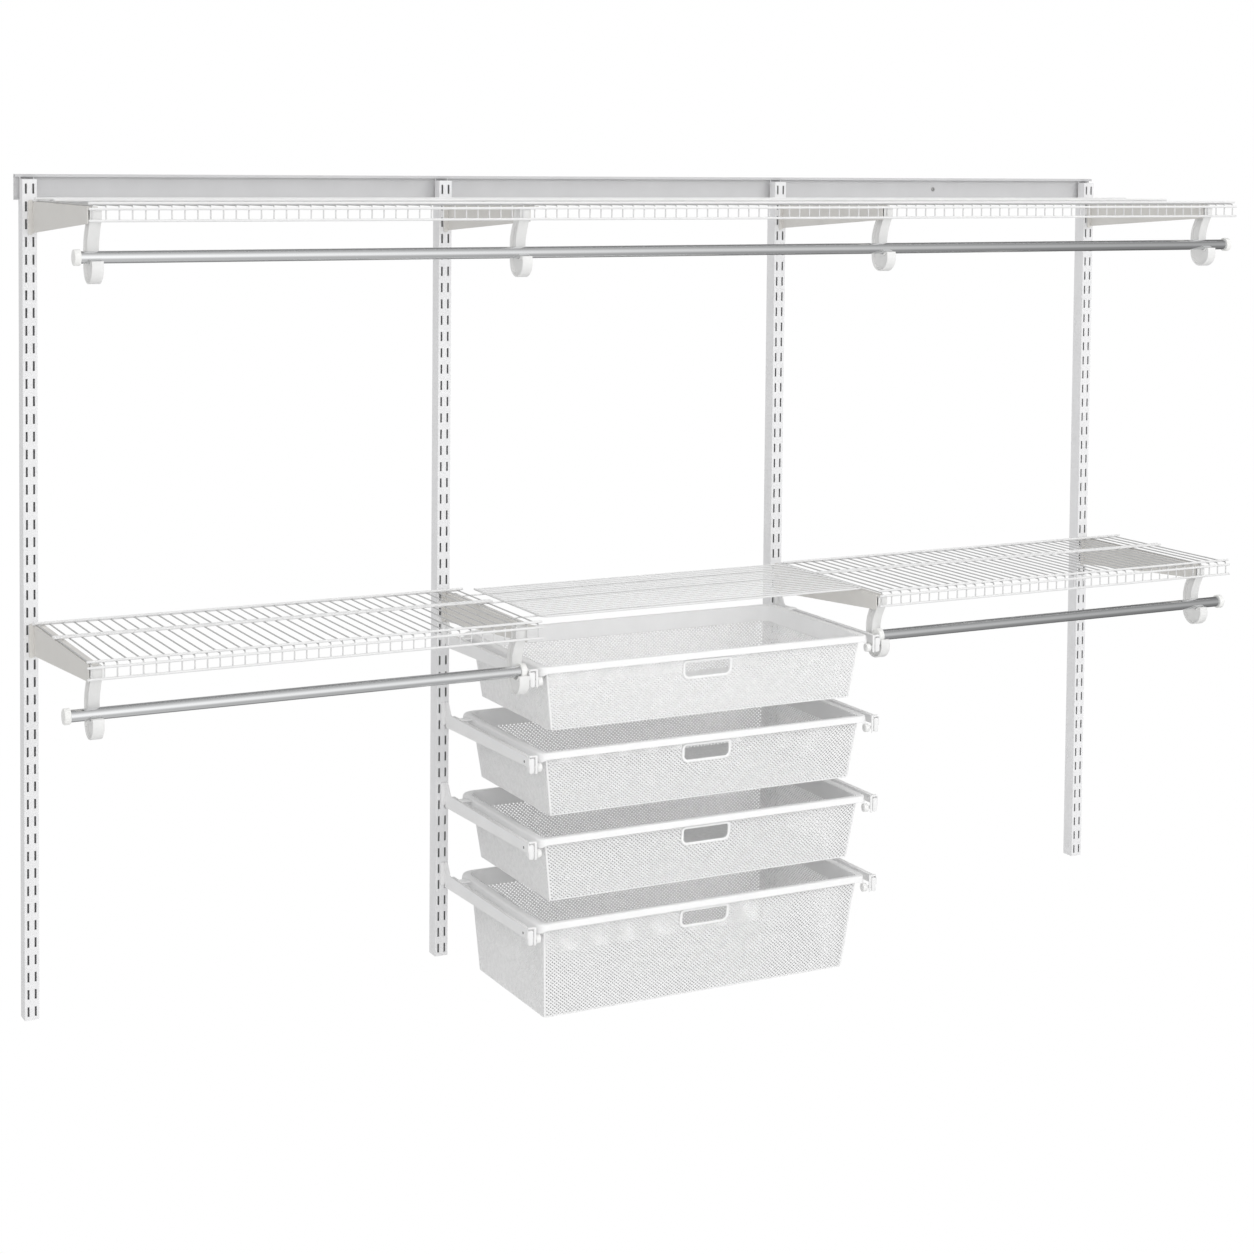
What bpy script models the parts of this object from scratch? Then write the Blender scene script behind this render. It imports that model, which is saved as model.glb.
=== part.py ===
import math

import bmesh
import bpy

# Driving sizes in metres. X runs along the wall, +Z is up and the wall is the plane Y = 0.
# The origin is the middle of the top track's wall face.

# Bays between the hang standards
side_bay = 0.8095
centre_bay = 0.762
# Slot rows of the standards
slot_pitch = 0.032
slot_rows = 48
slot_height = 0.018
slot_width = 0.0037
slot_column = 0.0066
first_slot_drop = 0.0026
standard_width = 0.0263
standard_depth = 0.0302
standard_sheet = 0.0018
standard_top_margin = 0.017
standard_bottom_margin = 0.016
# Top track
track_height = 0.0467
track_lip_depth = 0.012
track_lip_front = 0.005
track_foot_depth = 0.0075
track_sheet = 0.002
track_end_margin = 0.022
# Gaps between seated pieces
seat_gap = 0.0003
plate_gap = 0.0006
# Wire shelves
cross_wire = 0.0028
long_wire = 0.0046
rear_wire = 0.005
end_wire_extra = 0.0006
wire_pitch = 0.0224
wire_end_margin = 0.008
shelf_lip_front = 0.417
deck_drop = 0.0203
lip_wire_drop = 0.0096
lip_bottom_drop = 0.0294
lip_back_web = 0.0005
rear_pair_gap = 0.010
middle_pair_front = 0.186
upper_left_margin = 0.005
upper_right_margin = 0.090
lower_left_start = 0.001
lower_left_end = 0.0346
lower_right_start = 0.0075
lower_right_end = 0.093
# Centre shelf
centre_front = 0.354
centre_wires = 19
centre_left_end = 0.0605
centre_right_end = 0.0125
centre_bar = 0.004
centre_tail_left = 0.0095
centre_tail_right = 0.0215
centre_rear = 0.041
centre_middle = 0.165
# Shelf brackets
bracket_row_upper = 2
bracket_row_lower = 26
bracket_plate = 0.002
bracket_offset = 0.005
bracket_front = 0.408
bracket_front_height = 0.0285
bracket_rear_drop = 0.0565
flange_width = 0.016
foot_sheet = 0.0018
foot_reach = 0.010
foot_rise = 0.0055
foot_height = 0.0635
tooth_height = 0.013
tooth_hook_drop = 0.004
tooth_sheet = 0.0016
# Rods, their caps and hooks
rod_radius = 0.0105
rod_wall = 0.0012
rod_front = 0.403
rod_drop = 0.1106
cap_radius = 0.01385
cap_length = 0.019
cap_end_sheet = 0.002
upper_rod_left = 0.0173
upper_rod_right = 0.0785
lower_rod_left = 0.0359
lower_rod_right = 0.081
hook_width = 0.020
hook_side_offset = 0.009
hook_rear = 0.036
hook_front = 0.021
hook_bottom = 0.045
hook_lip_drop = 0.006
hook_round = 0.0012
hook_top_rear = 0.031
hook_top_front = 0.0079
hook_bow_height = 0.050
cradle_gap = 0.0004
# Drawers
drawer_rows = (28, 33, 38, 43)
shallow_depth = 0.124
deep_depth = 0.190
rim_drop = 0.007
rim_side_gap = 0.020
rim_front = 0.418
rim_rear = 0.040
rim_skirt = 0.017
rim_sheet = 0.002
side_ledge = 0.0165
end_ledge = 0.0105
rim_front_corner = 0.018
rim_rear_corner = 0.034
wall_sheet = 0.0012
# Openings through the drawers' walls and floors
opening_width = 0.016
openings_across = 10
openings_deep = 4
opening_low_margin = 0.010
opening_high_margin = 0.034
opening_handle_margin = 0.061
basket_front_corner = 0.007
basket_rear_corner = 0.026
side_taper_shallow = 0.017
side_taper_deep = 0.016
front_taper_shallow = 0.011
front_taper_deep = 0.028
rear_taper = 0.012
runner_length = 0.020
runner_rear_offset = 0.018
handle_width = 0.107
handle_height = 0.035
handle_border = 0.005
handle_thickness = 0.004
handle_corner = 0.011
handle_top_corner = 0.006
handle_top_gap = 0.0008
handle_proud = 0.0015
window_reach = 0.027
# Drawer arms and rollers
arm_plate = 0.002
arm_rise = 0.0125
arm_rear_drop = 0.038
arm_top_drop = 0.010
arm_shoulder = 0.030
shoulder_step = 0.010
arm_front = 0.421
arm_front_height = 0.018
arm_flange = 0.006
arm_flange_sheet = 0.0016
arm_flange_end = 0.012
arm_foot_height = 0.046
arm_block_width = 0.0094
arm_block_depth = 0.012
arm_block_top = 0.0125
arm_block_bottom = 0.040
stop_width = 0.0055
stop_inset = 0.0108
stop_sheet = 0.0018
stop_height = 0.034
stop_bar = 0.003
roller_radius = 0.008
roller_width = 0.0095
roller_bore = 0.0034
axle_radius = 0.0028
axle_front = 0.4115
roller_overhang = 0.0026

# Segments of round outlines
rod_segments = 16
cap_segments = 16
roller_segments = 12
axle_segments = 8
corner_segments = 3

# Shares of a size, without a unit
centre_share = 0.5
bow_share = 0.5
# Edges that turn by more degrees than this stay crisp on round pieces
crease_angle = 40


def clear_scene():
    for item in list(bpy.data.objects):
        bpy.data.objects.remove(item, do_unlink=True)


def surface(name, colour, roughness, metallic):
    material = bpy.data.materials.new(name)
    material.use_nodes = True
    shader = material.node_tree.nodes["Principled BSDF"]
    shader.inputs["Base Color"].default_value = (*colour, 1.0)
    shader.inputs["Roughness"].default_value = roughness
    shader.inputs["Metallic"].default_value = metallic
    return material


def mesh_of(points, faces):
    mesh = bpy.data.meshes.new("outline")
    mesh.from_pydata(points, [], faces)
    work = bmesh.new()
    work.from_mesh(mesh)
    bmesh.ops.recalc_face_normals(work, faces=work.faces)
    work.to_mesh(mesh)
    work.free()
    return mesh


def stack(loops, closed_ends=True):
    """Skin over loops with the same number of points; the last joins the first if the ends are open."""
    count = len(loops[0])
    points = [point for loop in loops for point in loop]
    faces = []
    spans = len(loops) - 1 if closed_ends else len(loops)
    for step in range(spans):
        low = step * count
        high = ((step + 1) % len(loops)) * count
        for i in range(count):
            j = (i + 1) % count
            faces.append((low + i, low + j, high + j, high + i))
    if closed_ends:
        faces.append(tuple(reversed(range(count))))
        faces.append(tuple(range((len(loops) - 1) * count, len(loops) * count)))
    return mesh_of(points, faces)


def bar(x_low, x_high, y_low, y_high, z_low, z_high):
    loops = []
    for z in (z_low, z_high):
        loops.append([(x_low, y_low, z), (x_high, y_low, z), (x_high, y_high, z), (x_low, y_high, z)])
    return stack(loops)


def along_x(outline, x_low, x_high):
    """Solid with the same (y, z) outline from x_low to x_high."""
    return stack([[(x, y, z) for y, z in outline] for x in (x_low, x_high)])


def along_y(outline, y_low, y_high):
    return stack([[(x, y, z) for x, z in outline] for y in (y_low, y_high)])


def circle(centre_a, centre_b, radius, segments):
    points = []
    for i in range(segments):
        angle = math.tau / segments * (i + centre_share)
        points.append((centre_a + radius * math.cos(angle), centre_b + radius * math.sin(angle)))
    return points


def combined(base, tools, operation):
    """The base mesh after an exact boolean with each tool mesh in turn."""
    holder = bpy.data.objects.new("holder", base)
    bpy.context.scene.collection.objects.link(holder)
    helpers = []
    for tool in tools:
        helper = bpy.data.objects.new("tool", tool)
        helper.hide_render = True
        helper.display_type = "WIRE"
        bpy.context.scene.collection.objects.link(helper)
        helpers.append(helper)
        modifier = holder.modifiers.new("combine", "BOOLEAN")
        modifier.operation = operation
        modifier.solver = "EXACT"
        modifier.object = helper
    graph = bpy.context.evaluated_depsgraph_get()
    result = bpy.data.meshes.new_from_object(holder.evaluated_get(graph))
    for item in [holder] + helpers:
        bpy.data.objects.remove(item, do_unlink=True)
    return result


def joined(base, *tools):
    return combined(base, tools, "UNION")


def several(meshes):
    """One mesh with the parts of several that don't touch."""
    work = bmesh.new()
    for mesh in meshes:
        work.from_mesh(mesh)
    result = bpy.data.meshes.new("several")
    work.to_mesh(result)
    work.free()
    return result


def place(name, mesh, material, location=(0, 0, 0), parent=None, smooth=False):
    mesh.materials.clear()
    mesh.materials.append(material)
    mesh.polygons.foreach_set("use_smooth", [smooth] * len(mesh.polygons))
    item = bpy.data.objects.new(name, mesh)
    item.location = location
    item.parent = parent
    bpy.context.scene.collection.objects.link(item)
    return item


def smooth_by_angle(item):
    # Round walls shade smooth and flat ends stay crisp
    item.data.shade_smooth()
    for edge in item.data.edges:
        edge.use_edge_sharp = False
    work = bmesh.new()
    work.from_mesh(item.data)
    for edge in work.edges:
        if len(edge.link_faces) == 2 and edge.calc_face_angle() > math.radians(crease_angle):
            edge.smooth = False
    work.to_mesh(item.data)
    work.free()


def shelf_rear():
    # The rear wire clears the brackets' feet on the standards
    return standard_depth + plate_gap + foot_sheet + seat_gap


def slot_z(row):
    return -first_slot_drop - (row - 1) * slot_pitch


def rounded_rectangle(x_low, x_high, y_low, y_high, front_corner, rear_corner, z):
    """Loop seen from above; the front corners are the ones at y_low."""
    loop = []
    corners = (
        (x_high - rear_corner, y_high - rear_corner, rear_corner, 0.0),
        (x_low + rear_corner, y_high - rear_corner, rear_corner, 1.0),
        (x_low + front_corner, y_low + front_corner, front_corner, 2.0),
        (x_high - front_corner, y_low + front_corner, front_corner, 3.0),
    )
    for x, y, radius, quarter in corners:
        for i in range(corner_segments + 1):
            angle = math.pi / 2 * (quarter + i / corner_segments)
            loop.append((x + radius * math.cos(angle), y + radius * math.sin(angle), z))
    return loop


# The lip wires of a shelf hang in front of the cross wires, which turn down behind them.
def shelf_comb(x_start, x_end, z_deck):
    """Rear wire, cross wires with their turned-down fronts, and the lowest lip wire, as one skin."""
    half = cross_wire / 2
    rear_back = -shelf_rear()
    rear_face = rear_back - rear_wire
    down_back = -(shelf_lip_front - long_wire / 2 - seat_gap) + cross_wire
    down_front = down_back - cross_wire
    lip_back = down_back + lip_back_web
    lip_front = -(shelf_lip_front + long_wire / 2)
    z_top = z_deck + half
    z_low = z_deck - half
    lip_z = z_deck + cross_wire / 2 + seat_gap + long_wire / 2 - lip_bottom_drop
    lip_top = lip_z + long_wire / 2
    lip_bottom = lip_z - long_wire / 2
    rear_top = z_deck + rear_wire / 2
    rear_low = z_deck - rear_wire / 2
    first = x_start + wire_end_margin
    last = x_end - wire_end_margin
    spans = round((last - first) / wire_pitch)
    middles = [first + (last - first) * i / spans for i in range(spans + 1)]

    points = []

    def add(x, y, z):
        points.append((x, y, z))
        return len(points) - 1

    faces = []
    rear = {}
    lip = {}
    for end, x in (("a", x_start), ("b", x_end)):
        for key, y, z in (
            ("face_top", rear_face, rear_top),
            ("face_high", rear_face, z_top),
            ("face_low", rear_face, z_low),
            ("face_bottom", rear_face, rear_low),
            ("back_bottom", rear_back, rear_low),
            ("back_top", rear_back, rear_top),
        ):
            rear[key + end] = add(x, y, z)
        for key, y, z in (
            ("top_back", lip_back, lip_top),
            ("top_inner", down_back, lip_top),
            ("top_outer", down_front, lip_top),
            ("top_front", lip_front, lip_top),
            ("low_front", lip_front, lip_bottom),
            ("low_back", lip_back, lip_bottom),
        ):
            lip[key + end] = add(x, y, z)
    rear_high = [rear["face_higha"]]
    rear_lower = [rear["face_lowa"]]
    lip_inner = [lip["top_innera"]]
    lip_outer = [lip["top_outera"]]
    for x in middles:
        sides = []
        for side in (x - half, x + half):
            sides.append(
                {
                    "rear_high": add(side, rear_face, z_top),
                    "rear_low": add(side, rear_face, z_low),
                    "bend_out": add(side, down_front, z_top),
                    "bend_in": add(side, down_back, z_low),
                    "lip_out": add(side, down_front, lip_top),
                    "lip_in": add(side, down_back, lip_top),
                }
            )
        left, right = sides
        for one, two in (
            ("rear_high", "bend_out"),
            ("bend_out", "lip_out"),
            ("lip_in", "bend_in"),
            ("bend_in", "rear_low"),
        ):
            faces.append((left[one], left[two], right[two], right[one]))
        for side in sides:
            faces.append((side["rear_high"], side["bend_out"], side["bend_in"], side["rear_low"]))
            faces.append((side["bend_out"], side["lip_out"], side["lip_in"], side["bend_in"]))
        rear_high += [left["rear_high"], right["rear_high"]]
        rear_lower += [left["rear_low"], right["rear_low"]]
        lip_inner += [left["lip_in"], right["lip_in"]]
        lip_outer += [left["lip_out"], right["lip_out"]]
    rear_high.append(rear["face_highb"])
    rear_lower.append(rear["face_lowb"])
    lip_inner.append(lip["top_innerb"])
    lip_outer.append(lip["top_outerb"])
    for i in range(0, len(rear_high), 2):
        faces.append((rear_high[i], rear_high[i + 1], rear_lower[i + 1], rear_lower[i]))
        faces.append((lip_inner[i], lip_inner[i + 1], lip_outer[i + 1], lip_outer[i]))
    faces.append(tuple(rear_high + [rear["face_topb"], rear["face_topa"]]))
    faces.append(tuple(rear_lower + [rear["face_bottomb"], rear["face_bottoma"]]))
    faces.append(tuple(lip_inner + [lip["top_backb"], lip["top_backa"]]))
    faces.append(tuple(lip_outer + [lip["top_frontb"], lip["top_fronta"]]))
    rear_ring = ("face_bottom", "back_bottom", "back_top", "face_top")
    lip_ring = ("top_front", "low_front", "low_back", "top_back")
    for table, ring in ((rear, rear_ring), (lip, lip_ring)):
        for one, two in zip(ring, ring[1:]):
            faces.append((table[one + "a"], table[two + "a"], table[two + "b"], table[one + "b"]))
    rear_end = ("face_top", "face_high", "face_low", "face_bottom", "back_bottom", "back_top")
    lip_end = ("top_back", "top_inner", "top_outer", "top_front", "low_front", "low_back")
    for end in ("a", "b"):
        faces.append(tuple(rear[key + end] for key in rear_end))
        faces.append(tuple(lip[key + end] for key in lip_end))
    return mesh_of(points, faces), middles[0], middles[-1]


def lipped_shelf(name, x_start, x_end, z_deck, material):
    comb, first, last = shelf_comb(x_start, x_end, z_deck)
    half = cross_wire / 2
    over = z_deck + half + seat_gap
    rear_pair = shelf_rear() + rear_wire + rear_pair_gap
    deck_front = shelf_lip_front - long_wire
    long_wires = []
    pair_half = rear_pair_gap / 2
    for front in (rear_pair, middle_pair_front - pair_half, middle_pair_front + pair_half, deck_front):
        long_wires.append(
            bar(x_start, x_end, -front - long_wire / 2, -front + long_wire / 2, over, over + long_wire)
        )
    lip_high = over + long_wire / 2 - lip_wire_drop
    long_wires.append(
        bar(
            x_start,
            x_end,
            -shelf_lip_front - long_wire / 2,
            -shelf_lip_front + long_wire / 2,
            lip_high - long_wire / 2,
            lip_high + long_wire / 2,
        )
    )
    # A thicker wire at each end carries the long wires
    ends = []
    thick = half + end_wire_extra
    rear_face = -(shelf_rear() + rear_wire)
    down_front = -(shelf_lip_front - long_wire / 2 - seat_gap)
    lip_z = over + long_wire / 2 - lip_bottom_drop
    for x in (first, last):
        outline = [
            (rear_face + half, z_deck - half),
            (rear_face + half, z_deck + thick),
            (down_front - end_wire_extra, z_deck + thick),
            (down_front - end_wire_extra, lip_z),
            (down_front + cross_wire, lip_z),
            (down_front + cross_wire, z_deck - half),
        ]
        ends.append(along_x(outline, x - thick, x + thick))
    mesh = joined(comb, *ends)
    mesh = joined(mesh, several(long_wires))
    return place(name, mesh, material)


def framed_shelf(name, z_deck, material):
    """Centre shelf: wires along the wall between two side bars, on three wires that reach the brackets."""
    x_left = -centre_bay / 2 + centre_left_end
    x_right = centre_bay / 2 + centre_right_end
    y_front = -centre_front
    y_rear = -centre_rear
    half = cross_wire / 2
    bar_half = centre_bar / 2
    pieces = []
    spacing = (y_rear - y_front - centre_bar) / (centre_wires - 1)
    low = z_deck - half - seat_gap - end_wire_extra
    high = z_deck + half
    frames = [
        bar(x, x + centre_bar, y_front - bar_half, y_rear + bar_half, low, high)
        for x in (x_left, x_right - centre_bar)
    ]
    x_in_left = x_left + bar_half
    x_in_right = x_right - bar_half
    z_low = z_deck - bar_half
    z_high = z_deck + bar_half
    front = bar(x_in_left, x_in_right, y_front - bar_half, y_front + bar_half, z_low, z_high)
    for i in range(1, centre_wires):
        y = y_front + bar_half + spacing * i
        pieces.append(bar(x_in_left, x_in_right, y - half, y + half, z_deck - half, z_deck + half))
    under = z_deck - half - seat_gap
    for y in (-centre_middle, y_rear - 2 * spacing, y_front + 2 * spacing):
        pieces.append(
            bar(
                -centre_bay / 2 + centre_tail_left,
                centre_bay / 2 + centre_tail_right,
                y - spacing * centre_share - half,
                y - spacing * centre_share + half,
                under - cross_wire,
                under,
            )
        )
    mesh = joined(several(frames), front)
    mesh = joined(mesh, several(pieces))
    return place(name, mesh, material)


def tooth_outline(y_plate, z_middle, y_web_back):
    """Hook of a plate: through the slot and down behind the standard's front sheet."""
    high = z_middle + tooth_height / 2
    low = z_middle - tooth_height / 2
    y_in = y_web_back + seat_gap
    return [
        (y_plate, high),
        (y_in + tooth_sheet, high),
        (y_in + tooth_sheet, low - tooth_hook_drop + tooth_sheet),
        (y_in, low - tooth_hook_drop + tooth_sheet),
        (y_in, low),
        (y_plate, low),
    ]


def rounded_foot(x_low, x_high, z_low, z_high):
    """Tall plate with half-round ends, as (x, z) points."""
    radius = (x_high - x_low) / 2
    middle = (x_low + x_high) / 2
    outline = []
    for z, start in ((z_high - radius, 0.0), (z_low + radius, math.pi)):
        for i in range(corner_segments * 2 + 1):
            angle = start + math.pi * i / (corner_segments * 2)
            outline.append((middle + radius * math.cos(angle), z + radius * math.sin(angle)))
    return outline


def shelf_bracket(name, x_standard, row, flange_top, material):
    x_plate = x_standard + bracket_offset
    y_rear = -(standard_depth + plate_gap)
    y_web = -(standard_depth - standard_sheet)
    y_front = -bracket_front
    rear_bottom = flange_top - bracket_rear_drop
    y_notch = -(shelf_rear() + rear_wire + plate_gap)
    notch_top = flange_top - bracket_plate
    outline = [
        (y_front, flange_top),
        (y_front, flange_top - bracket_front_height),
        (y_rear, rear_bottom),
        (y_rear, notch_top),
        (y_notch, notch_top),
        (y_notch, flange_top),
    ]
    mesh = along_x(outline, x_plate, x_plate + bracket_plate)
    teeth = []
    for step in (0, 1):
        tooth = tooth_outline(y_rear - bracket_plate, slot_z(row + step), y_web)
        teeth.append(along_x(tooth, x_plate, x_plate + bracket_plate))
    flange = bar(
        x_plate + bracket_plate / 2,
        x_plate + bracket_plate + flange_width,
        y_front,
        y_notch,
        flange_top - bracket_plate,
        flange_top,
    )
    foot_top = slot_z(row) + foot_rise + tooth_height / 2
    foot_right = x_plate + bracket_plate / 2
    foot_plate = rounded_foot(foot_right - foot_reach, foot_right, foot_top - foot_height, foot_top)
    foot = along_y(foot_plate, y_rear - foot_sheet, y_rear)
    mesh = joined(mesh, several(teeth), flange, foot)
    return place(name, mesh, material)


def rod_hook(name, x_left, z_rod, z_top, cradle, material):
    """Moulded hook: a strap under the shelf that bows back and ends in a cradle with a front lip."""
    y = -rod_front
    top = z_top - z_rod
    disc_radius = (hook_front + hook_rear) / 2
    disc_forward = (hook_front - hook_rear) / 2
    disc_up = disc_radius - hook_bottom
    bow_top = hook_bow_height + disc_radius * bow_share
    shape = [(-hook_top_rear, top), (hook_top_front, top), (hook_top_front, bow_top)]
    bow_steps = corner_segments + 1
    for i in range(1, bow_steps):
        share = i / bow_steps
        drop = (bow_top - rod_radius) * share
        back = (hook_top_front + cradle) * math.sin(share * math.pi / 2)
        shape.append((hook_top_front - back, bow_top - drop))
    for i in range(corner_segments * 2 + 1):
        angle = math.pi + (math.pi + math.asin(-hook_lip_drop / cradle)) * i / (corner_segments * 2)
        shape.append((cradle * math.cos(angle), cradle * math.sin(angle)))
    shape.append((hook_front - hook_round, -hook_lip_drop))
    disc_steps = corner_segments * 3
    for i in range(disc_steps + 1):
        angle = -(math.pi * i / disc_steps)
        forward = disc_forward + disc_radius * math.cos(angle)
        shape.append((forward, disc_up + disc_radius * math.sin(angle)))
    shape.append((-hook_rear - hook_round, hook_bottom * bow_share))
    outline = [(y - forward, z_rod + up) for forward, up in shape]
    return place(name, along_x(outline, x_left, x_left + hook_width), material)


def hanging_rod(name, x_left, x_right, z, material):
    y = -rod_front
    outer = circle(y, z, rod_radius, rod_segments)
    inner = circle(y, z, rod_radius - rod_wall, rod_segments)
    loops = [[(x_left, a, b) for a, b in outer], [(x_right, a, b) for a, b in outer]]
    loops += [[(x_right, a, b) for a, b in inner], [(x_left, a, b) for a, b in inner]]
    item = place(name, stack(loops, closed_ends=False), material)
    smooth_by_angle(item)


def rod_cap(name, x_closed, x_open, z, material):
    y = -rod_front
    inward = 1 if x_open > x_closed else -1
    outer = circle(y, z, cap_radius, cap_segments)
    inner = circle(y, z, rod_radius + seat_gap, cap_segments)
    loops = [[(x_closed, a, b) for a, b in outer], [(x_open, a, b) for a, b in outer]]
    x_inside = x_closed + inward * cap_end_sheet
    loops += [[(x_open, a, b) for a, b in inner], [(x_inside, a, b) for a, b in inner]]
    item = place(name, stack(loops), material)
    smooth_by_angle(item)


def capped_rod(tag, x_low, x_high, z, rod_material, cap_material):
    shift = cap_end_sheet + seat_gap
    hanging_rod("rod_" + tag, x_low + shift, x_high - shift, z, rod_material)
    rod_cap("cap_" + tag + "_left", x_low, x_low + cap_length, z, cap_material)
    rod_cap("cap_" + tag + "_right", x_high, x_high - cap_length, z, cap_material)


def hang_standard(name, x, material):
    half = standard_width / 2
    top = slot_z(1) + standard_top_margin
    bottom = slot_z(slot_rows) - standard_bottom_margin
    track_low = -track_height / 2 - seat_gap
    # A hook at the top of each side stands up behind the track's folded lip
    hook_back = -(track_foot_depth + seat_gap)
    hook_face = -(track_lip_depth - track_sheet - seat_gap)
    hook_top = track_height / 2 - track_sheet - seat_gap
    side = [
        (-standard_depth, top),
        (-standard_depth, bottom),
        (0, bottom),
        (0, track_low),
        (hook_back, track_low),
        (hook_back, hook_top),
        (hook_face, hook_top),
        (hook_face, top),
    ]
    left = along_x(side, x - half, x - half + standard_sheet)
    right = along_x(side, x + half - standard_sheet, x + half)
    web = bar(x - half, x + half, -standard_depth, -standard_depth + standard_sheet, bottom, top)
    slots = []
    for row in range(1, slot_rows + 1):
        for column in (-slot_column, slot_column):
            slots.append(
                bar(
                    x + column - slot_width / 2,
                    x + column + slot_width / 2,
                    -standard_depth - standard_sheet,
                    -standard_depth + 2 * standard_sheet,
                    slot_z(row) - slot_height / 2,
                    slot_z(row) + slot_height / 2,
                )
            )
    mesh = joined(web, several([left, right]))
    mesh = combined(mesh, [several(slots)], "DIFFERENCE")
    return place(name, mesh, material)


def top_track(material):
    half = track_height / 2
    length = side_bay * 2 + centre_bay + track_end_margin * 2
    outline = [
        (0, half),
        (0, -half),
        (-track_foot_depth, -half),
        (-track_foot_depth, -half + track_sheet),
        (-track_sheet, -half + track_sheet),
        (-track_sheet, half - track_sheet),
        (-track_lip_depth + track_sheet, half - track_sheet),
        (-track_lip_depth + track_sheet, half - track_lip_front),
        (-track_lip_depth, half - track_lip_front),
        (-track_lip_depth, half),
    ]
    return place("top_track", along_x(outline, -length / 2, length / 2), material)


def drawer_centre():
    # Midway between the arms, which stand in the right slot column of the two inner standards
    return slot_column


def rim_half_width():
    # The rim runs between the two arms with the same play on both sides
    return centre_bay / 2 - arm_plate / 2 - rim_side_gap


def basket(number, row, depth, side_taper, front_taper, materials):
    x_mid = drawer_centre()
    half_width = rim_half_width()
    top = slot_z(row) - rim_drop
    bottom = top - depth

    def loop(side, front, rear, front_corner, rear_corner, z):
        return rounded_rectangle(
            x_mid - half_width + side,
            x_mid + half_width - side,
            -rim_front + front,
            -rim_rear - rear,
            front_corner,
            rear_corner,
            z,
        )

    def wall_loop(taper_share, inward, z):
        return loop(
            side_ledge + side_taper * taper_share + inward,
            end_ledge + front_taper * taper_share + inward,
            end_ledge + rear_taper * taper_share + inward,
            basket_front_corner,
            basket_rear_corner,
            z,
        )

    def rim_loop(inward, z):
        return loop(inward, inward, inward, rim_front_corner - inward, rim_rear_corner - inward, z)

    loops = [
        wall_loop(1, wall_sheet, bottom + wall_sheet),
        wall_loop(0, wall_sheet, top),
        rim_loop(0, top),
        rim_loop(0, top - rim_skirt),
        rim_loop(rim_sheet, top - rim_skirt),
        rim_loop(rim_sheet, top - rim_sheet),
        wall_loop(0, 0, top - rim_sheet),
        wall_loop(1, 0, bottom),
    ]
    mesh = stack(loops)
    # Runners at the rear of the rim lie on the arms' top flanges
    runners = []
    arm_face = centre_bay / 2 - arm_plate / 2 - plate_gap
    runner_low = top - (arm_top_drop - rim_drop) + seat_gap
    y_high = -rim_rear - rim_rear_corner - runner_rear_offset
    for side in (-1, 1):
        inner = x_mid + side * (half_width - rim_sheet / 2)
        outer = x_mid + side * arm_face
        x_low, x_high = sorted((inner, outer))
        runners.append(bar(x_low, x_high, y_high - runner_length, y_high, runner_low, top))
    # Opening for the handle frame, square to the sloping front
    run = depth - rim_sheet
    tilt = math.atan2(front_taper, run)
    handle_z = top - rim_skirt - handle_top_gap - handle_height / 2
    front_y = -rim_front + end_ledge + front_taper * (top - rim_sheet - handle_z) / run
    window_half = handle_width / 2 + seat_gap
    window_rise = handle_height / 2 + seat_gap
    window_edge = handle_outline(window_half, window_rise, handle_corner, handle_top_corner)
    window = along_y(window_edge, -window_reach, window_reach)
    turn(window, tilt, x_mid, front_y, handle_z)
    mesh = joined(mesh, several(runners))
    lengthwise, sideways = basket_openings(x_mid, half_width, top, bottom, side_taper, front_taper)
    mesh = combined(mesh, [window, lengthwise, sideways], "DIFFERENCE")
    item = place("basket_%d" % number, mesh, materials["basket"])
    smooth_by_angle(item)

    outer = handle_outline(handle_width / 2, handle_height / 2, handle_corner, handle_top_corner)
    inner = handle_outline(
        handle_width / 2 - handle_border,
        handle_height / 2 - handle_border,
        handle_corner - handle_border / 2,
        handle_top_corner - handle_border / 2,
    )
    y_out = -handle_proud
    y_in = y_out + handle_thickness
    loops = [[(x, y_out, z) for x, z in outer], [(x, y_in, z) for x, z in outer]]
    loops += [[(x, y_in, z) for x, z in inner], [(x, y_out, z) for x, z in inner]]
    frame = stack(loops, closed_ends=False)
    turn(frame, tilt, x_mid, front_y, handle_z)
    place("handle_%d" % number, frame, materials["handle"])


def basket_openings(x_mid, half_width, top, bottom, side_taper, front_taper):
    """Bars to cut the walls' and floor's openings: those along Y, and those along X."""
    z_low, z_high = bottom + opening_low_margin, top - opening_high_margin
    y_front = -rim_front + end_ledge + front_taper + basket_front_corner
    y_rear = -rim_rear - end_ledge - rear_taper - basket_rear_corner
    lengthwise = []
    flat_half = half_width - side_ledge - side_taper - basket_rear_corner
    for i in range(openings_across):
        x = x_mid + flat_half * ((2 * i + 1) / openings_across - 1)
        x_low, x_high = x - opening_width / 2, x + opening_width / 2
        under_handle = abs(x - x_mid) < handle_width / 2 + opening_width
        z_top = top - opening_handle_margin if under_handle else z_high
        lengthwise.append(bar(x_low, x_high, -rim_front - rim_sheet, -rim_rear + rim_sheet, z_low, z_top))
        lengthwise.append(
            bar(x_low, x_high, y_front, y_rear, bottom - wall_sheet, bottom + opening_low_margin / 2)
        )
    sideways = []
    for i in range(openings_deep):
        y = y_front + (y_rear - y_front) * (2 * i + 1) / openings_deep / 2
        y_low, y_high = y - opening_width / 2, y + opening_width / 2
        sideways.append(bar(x_mid - half_width, x_mid + half_width, y_low, y_high, z_low, z_high))
    return several(lengthwise), several(sideways)


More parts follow.
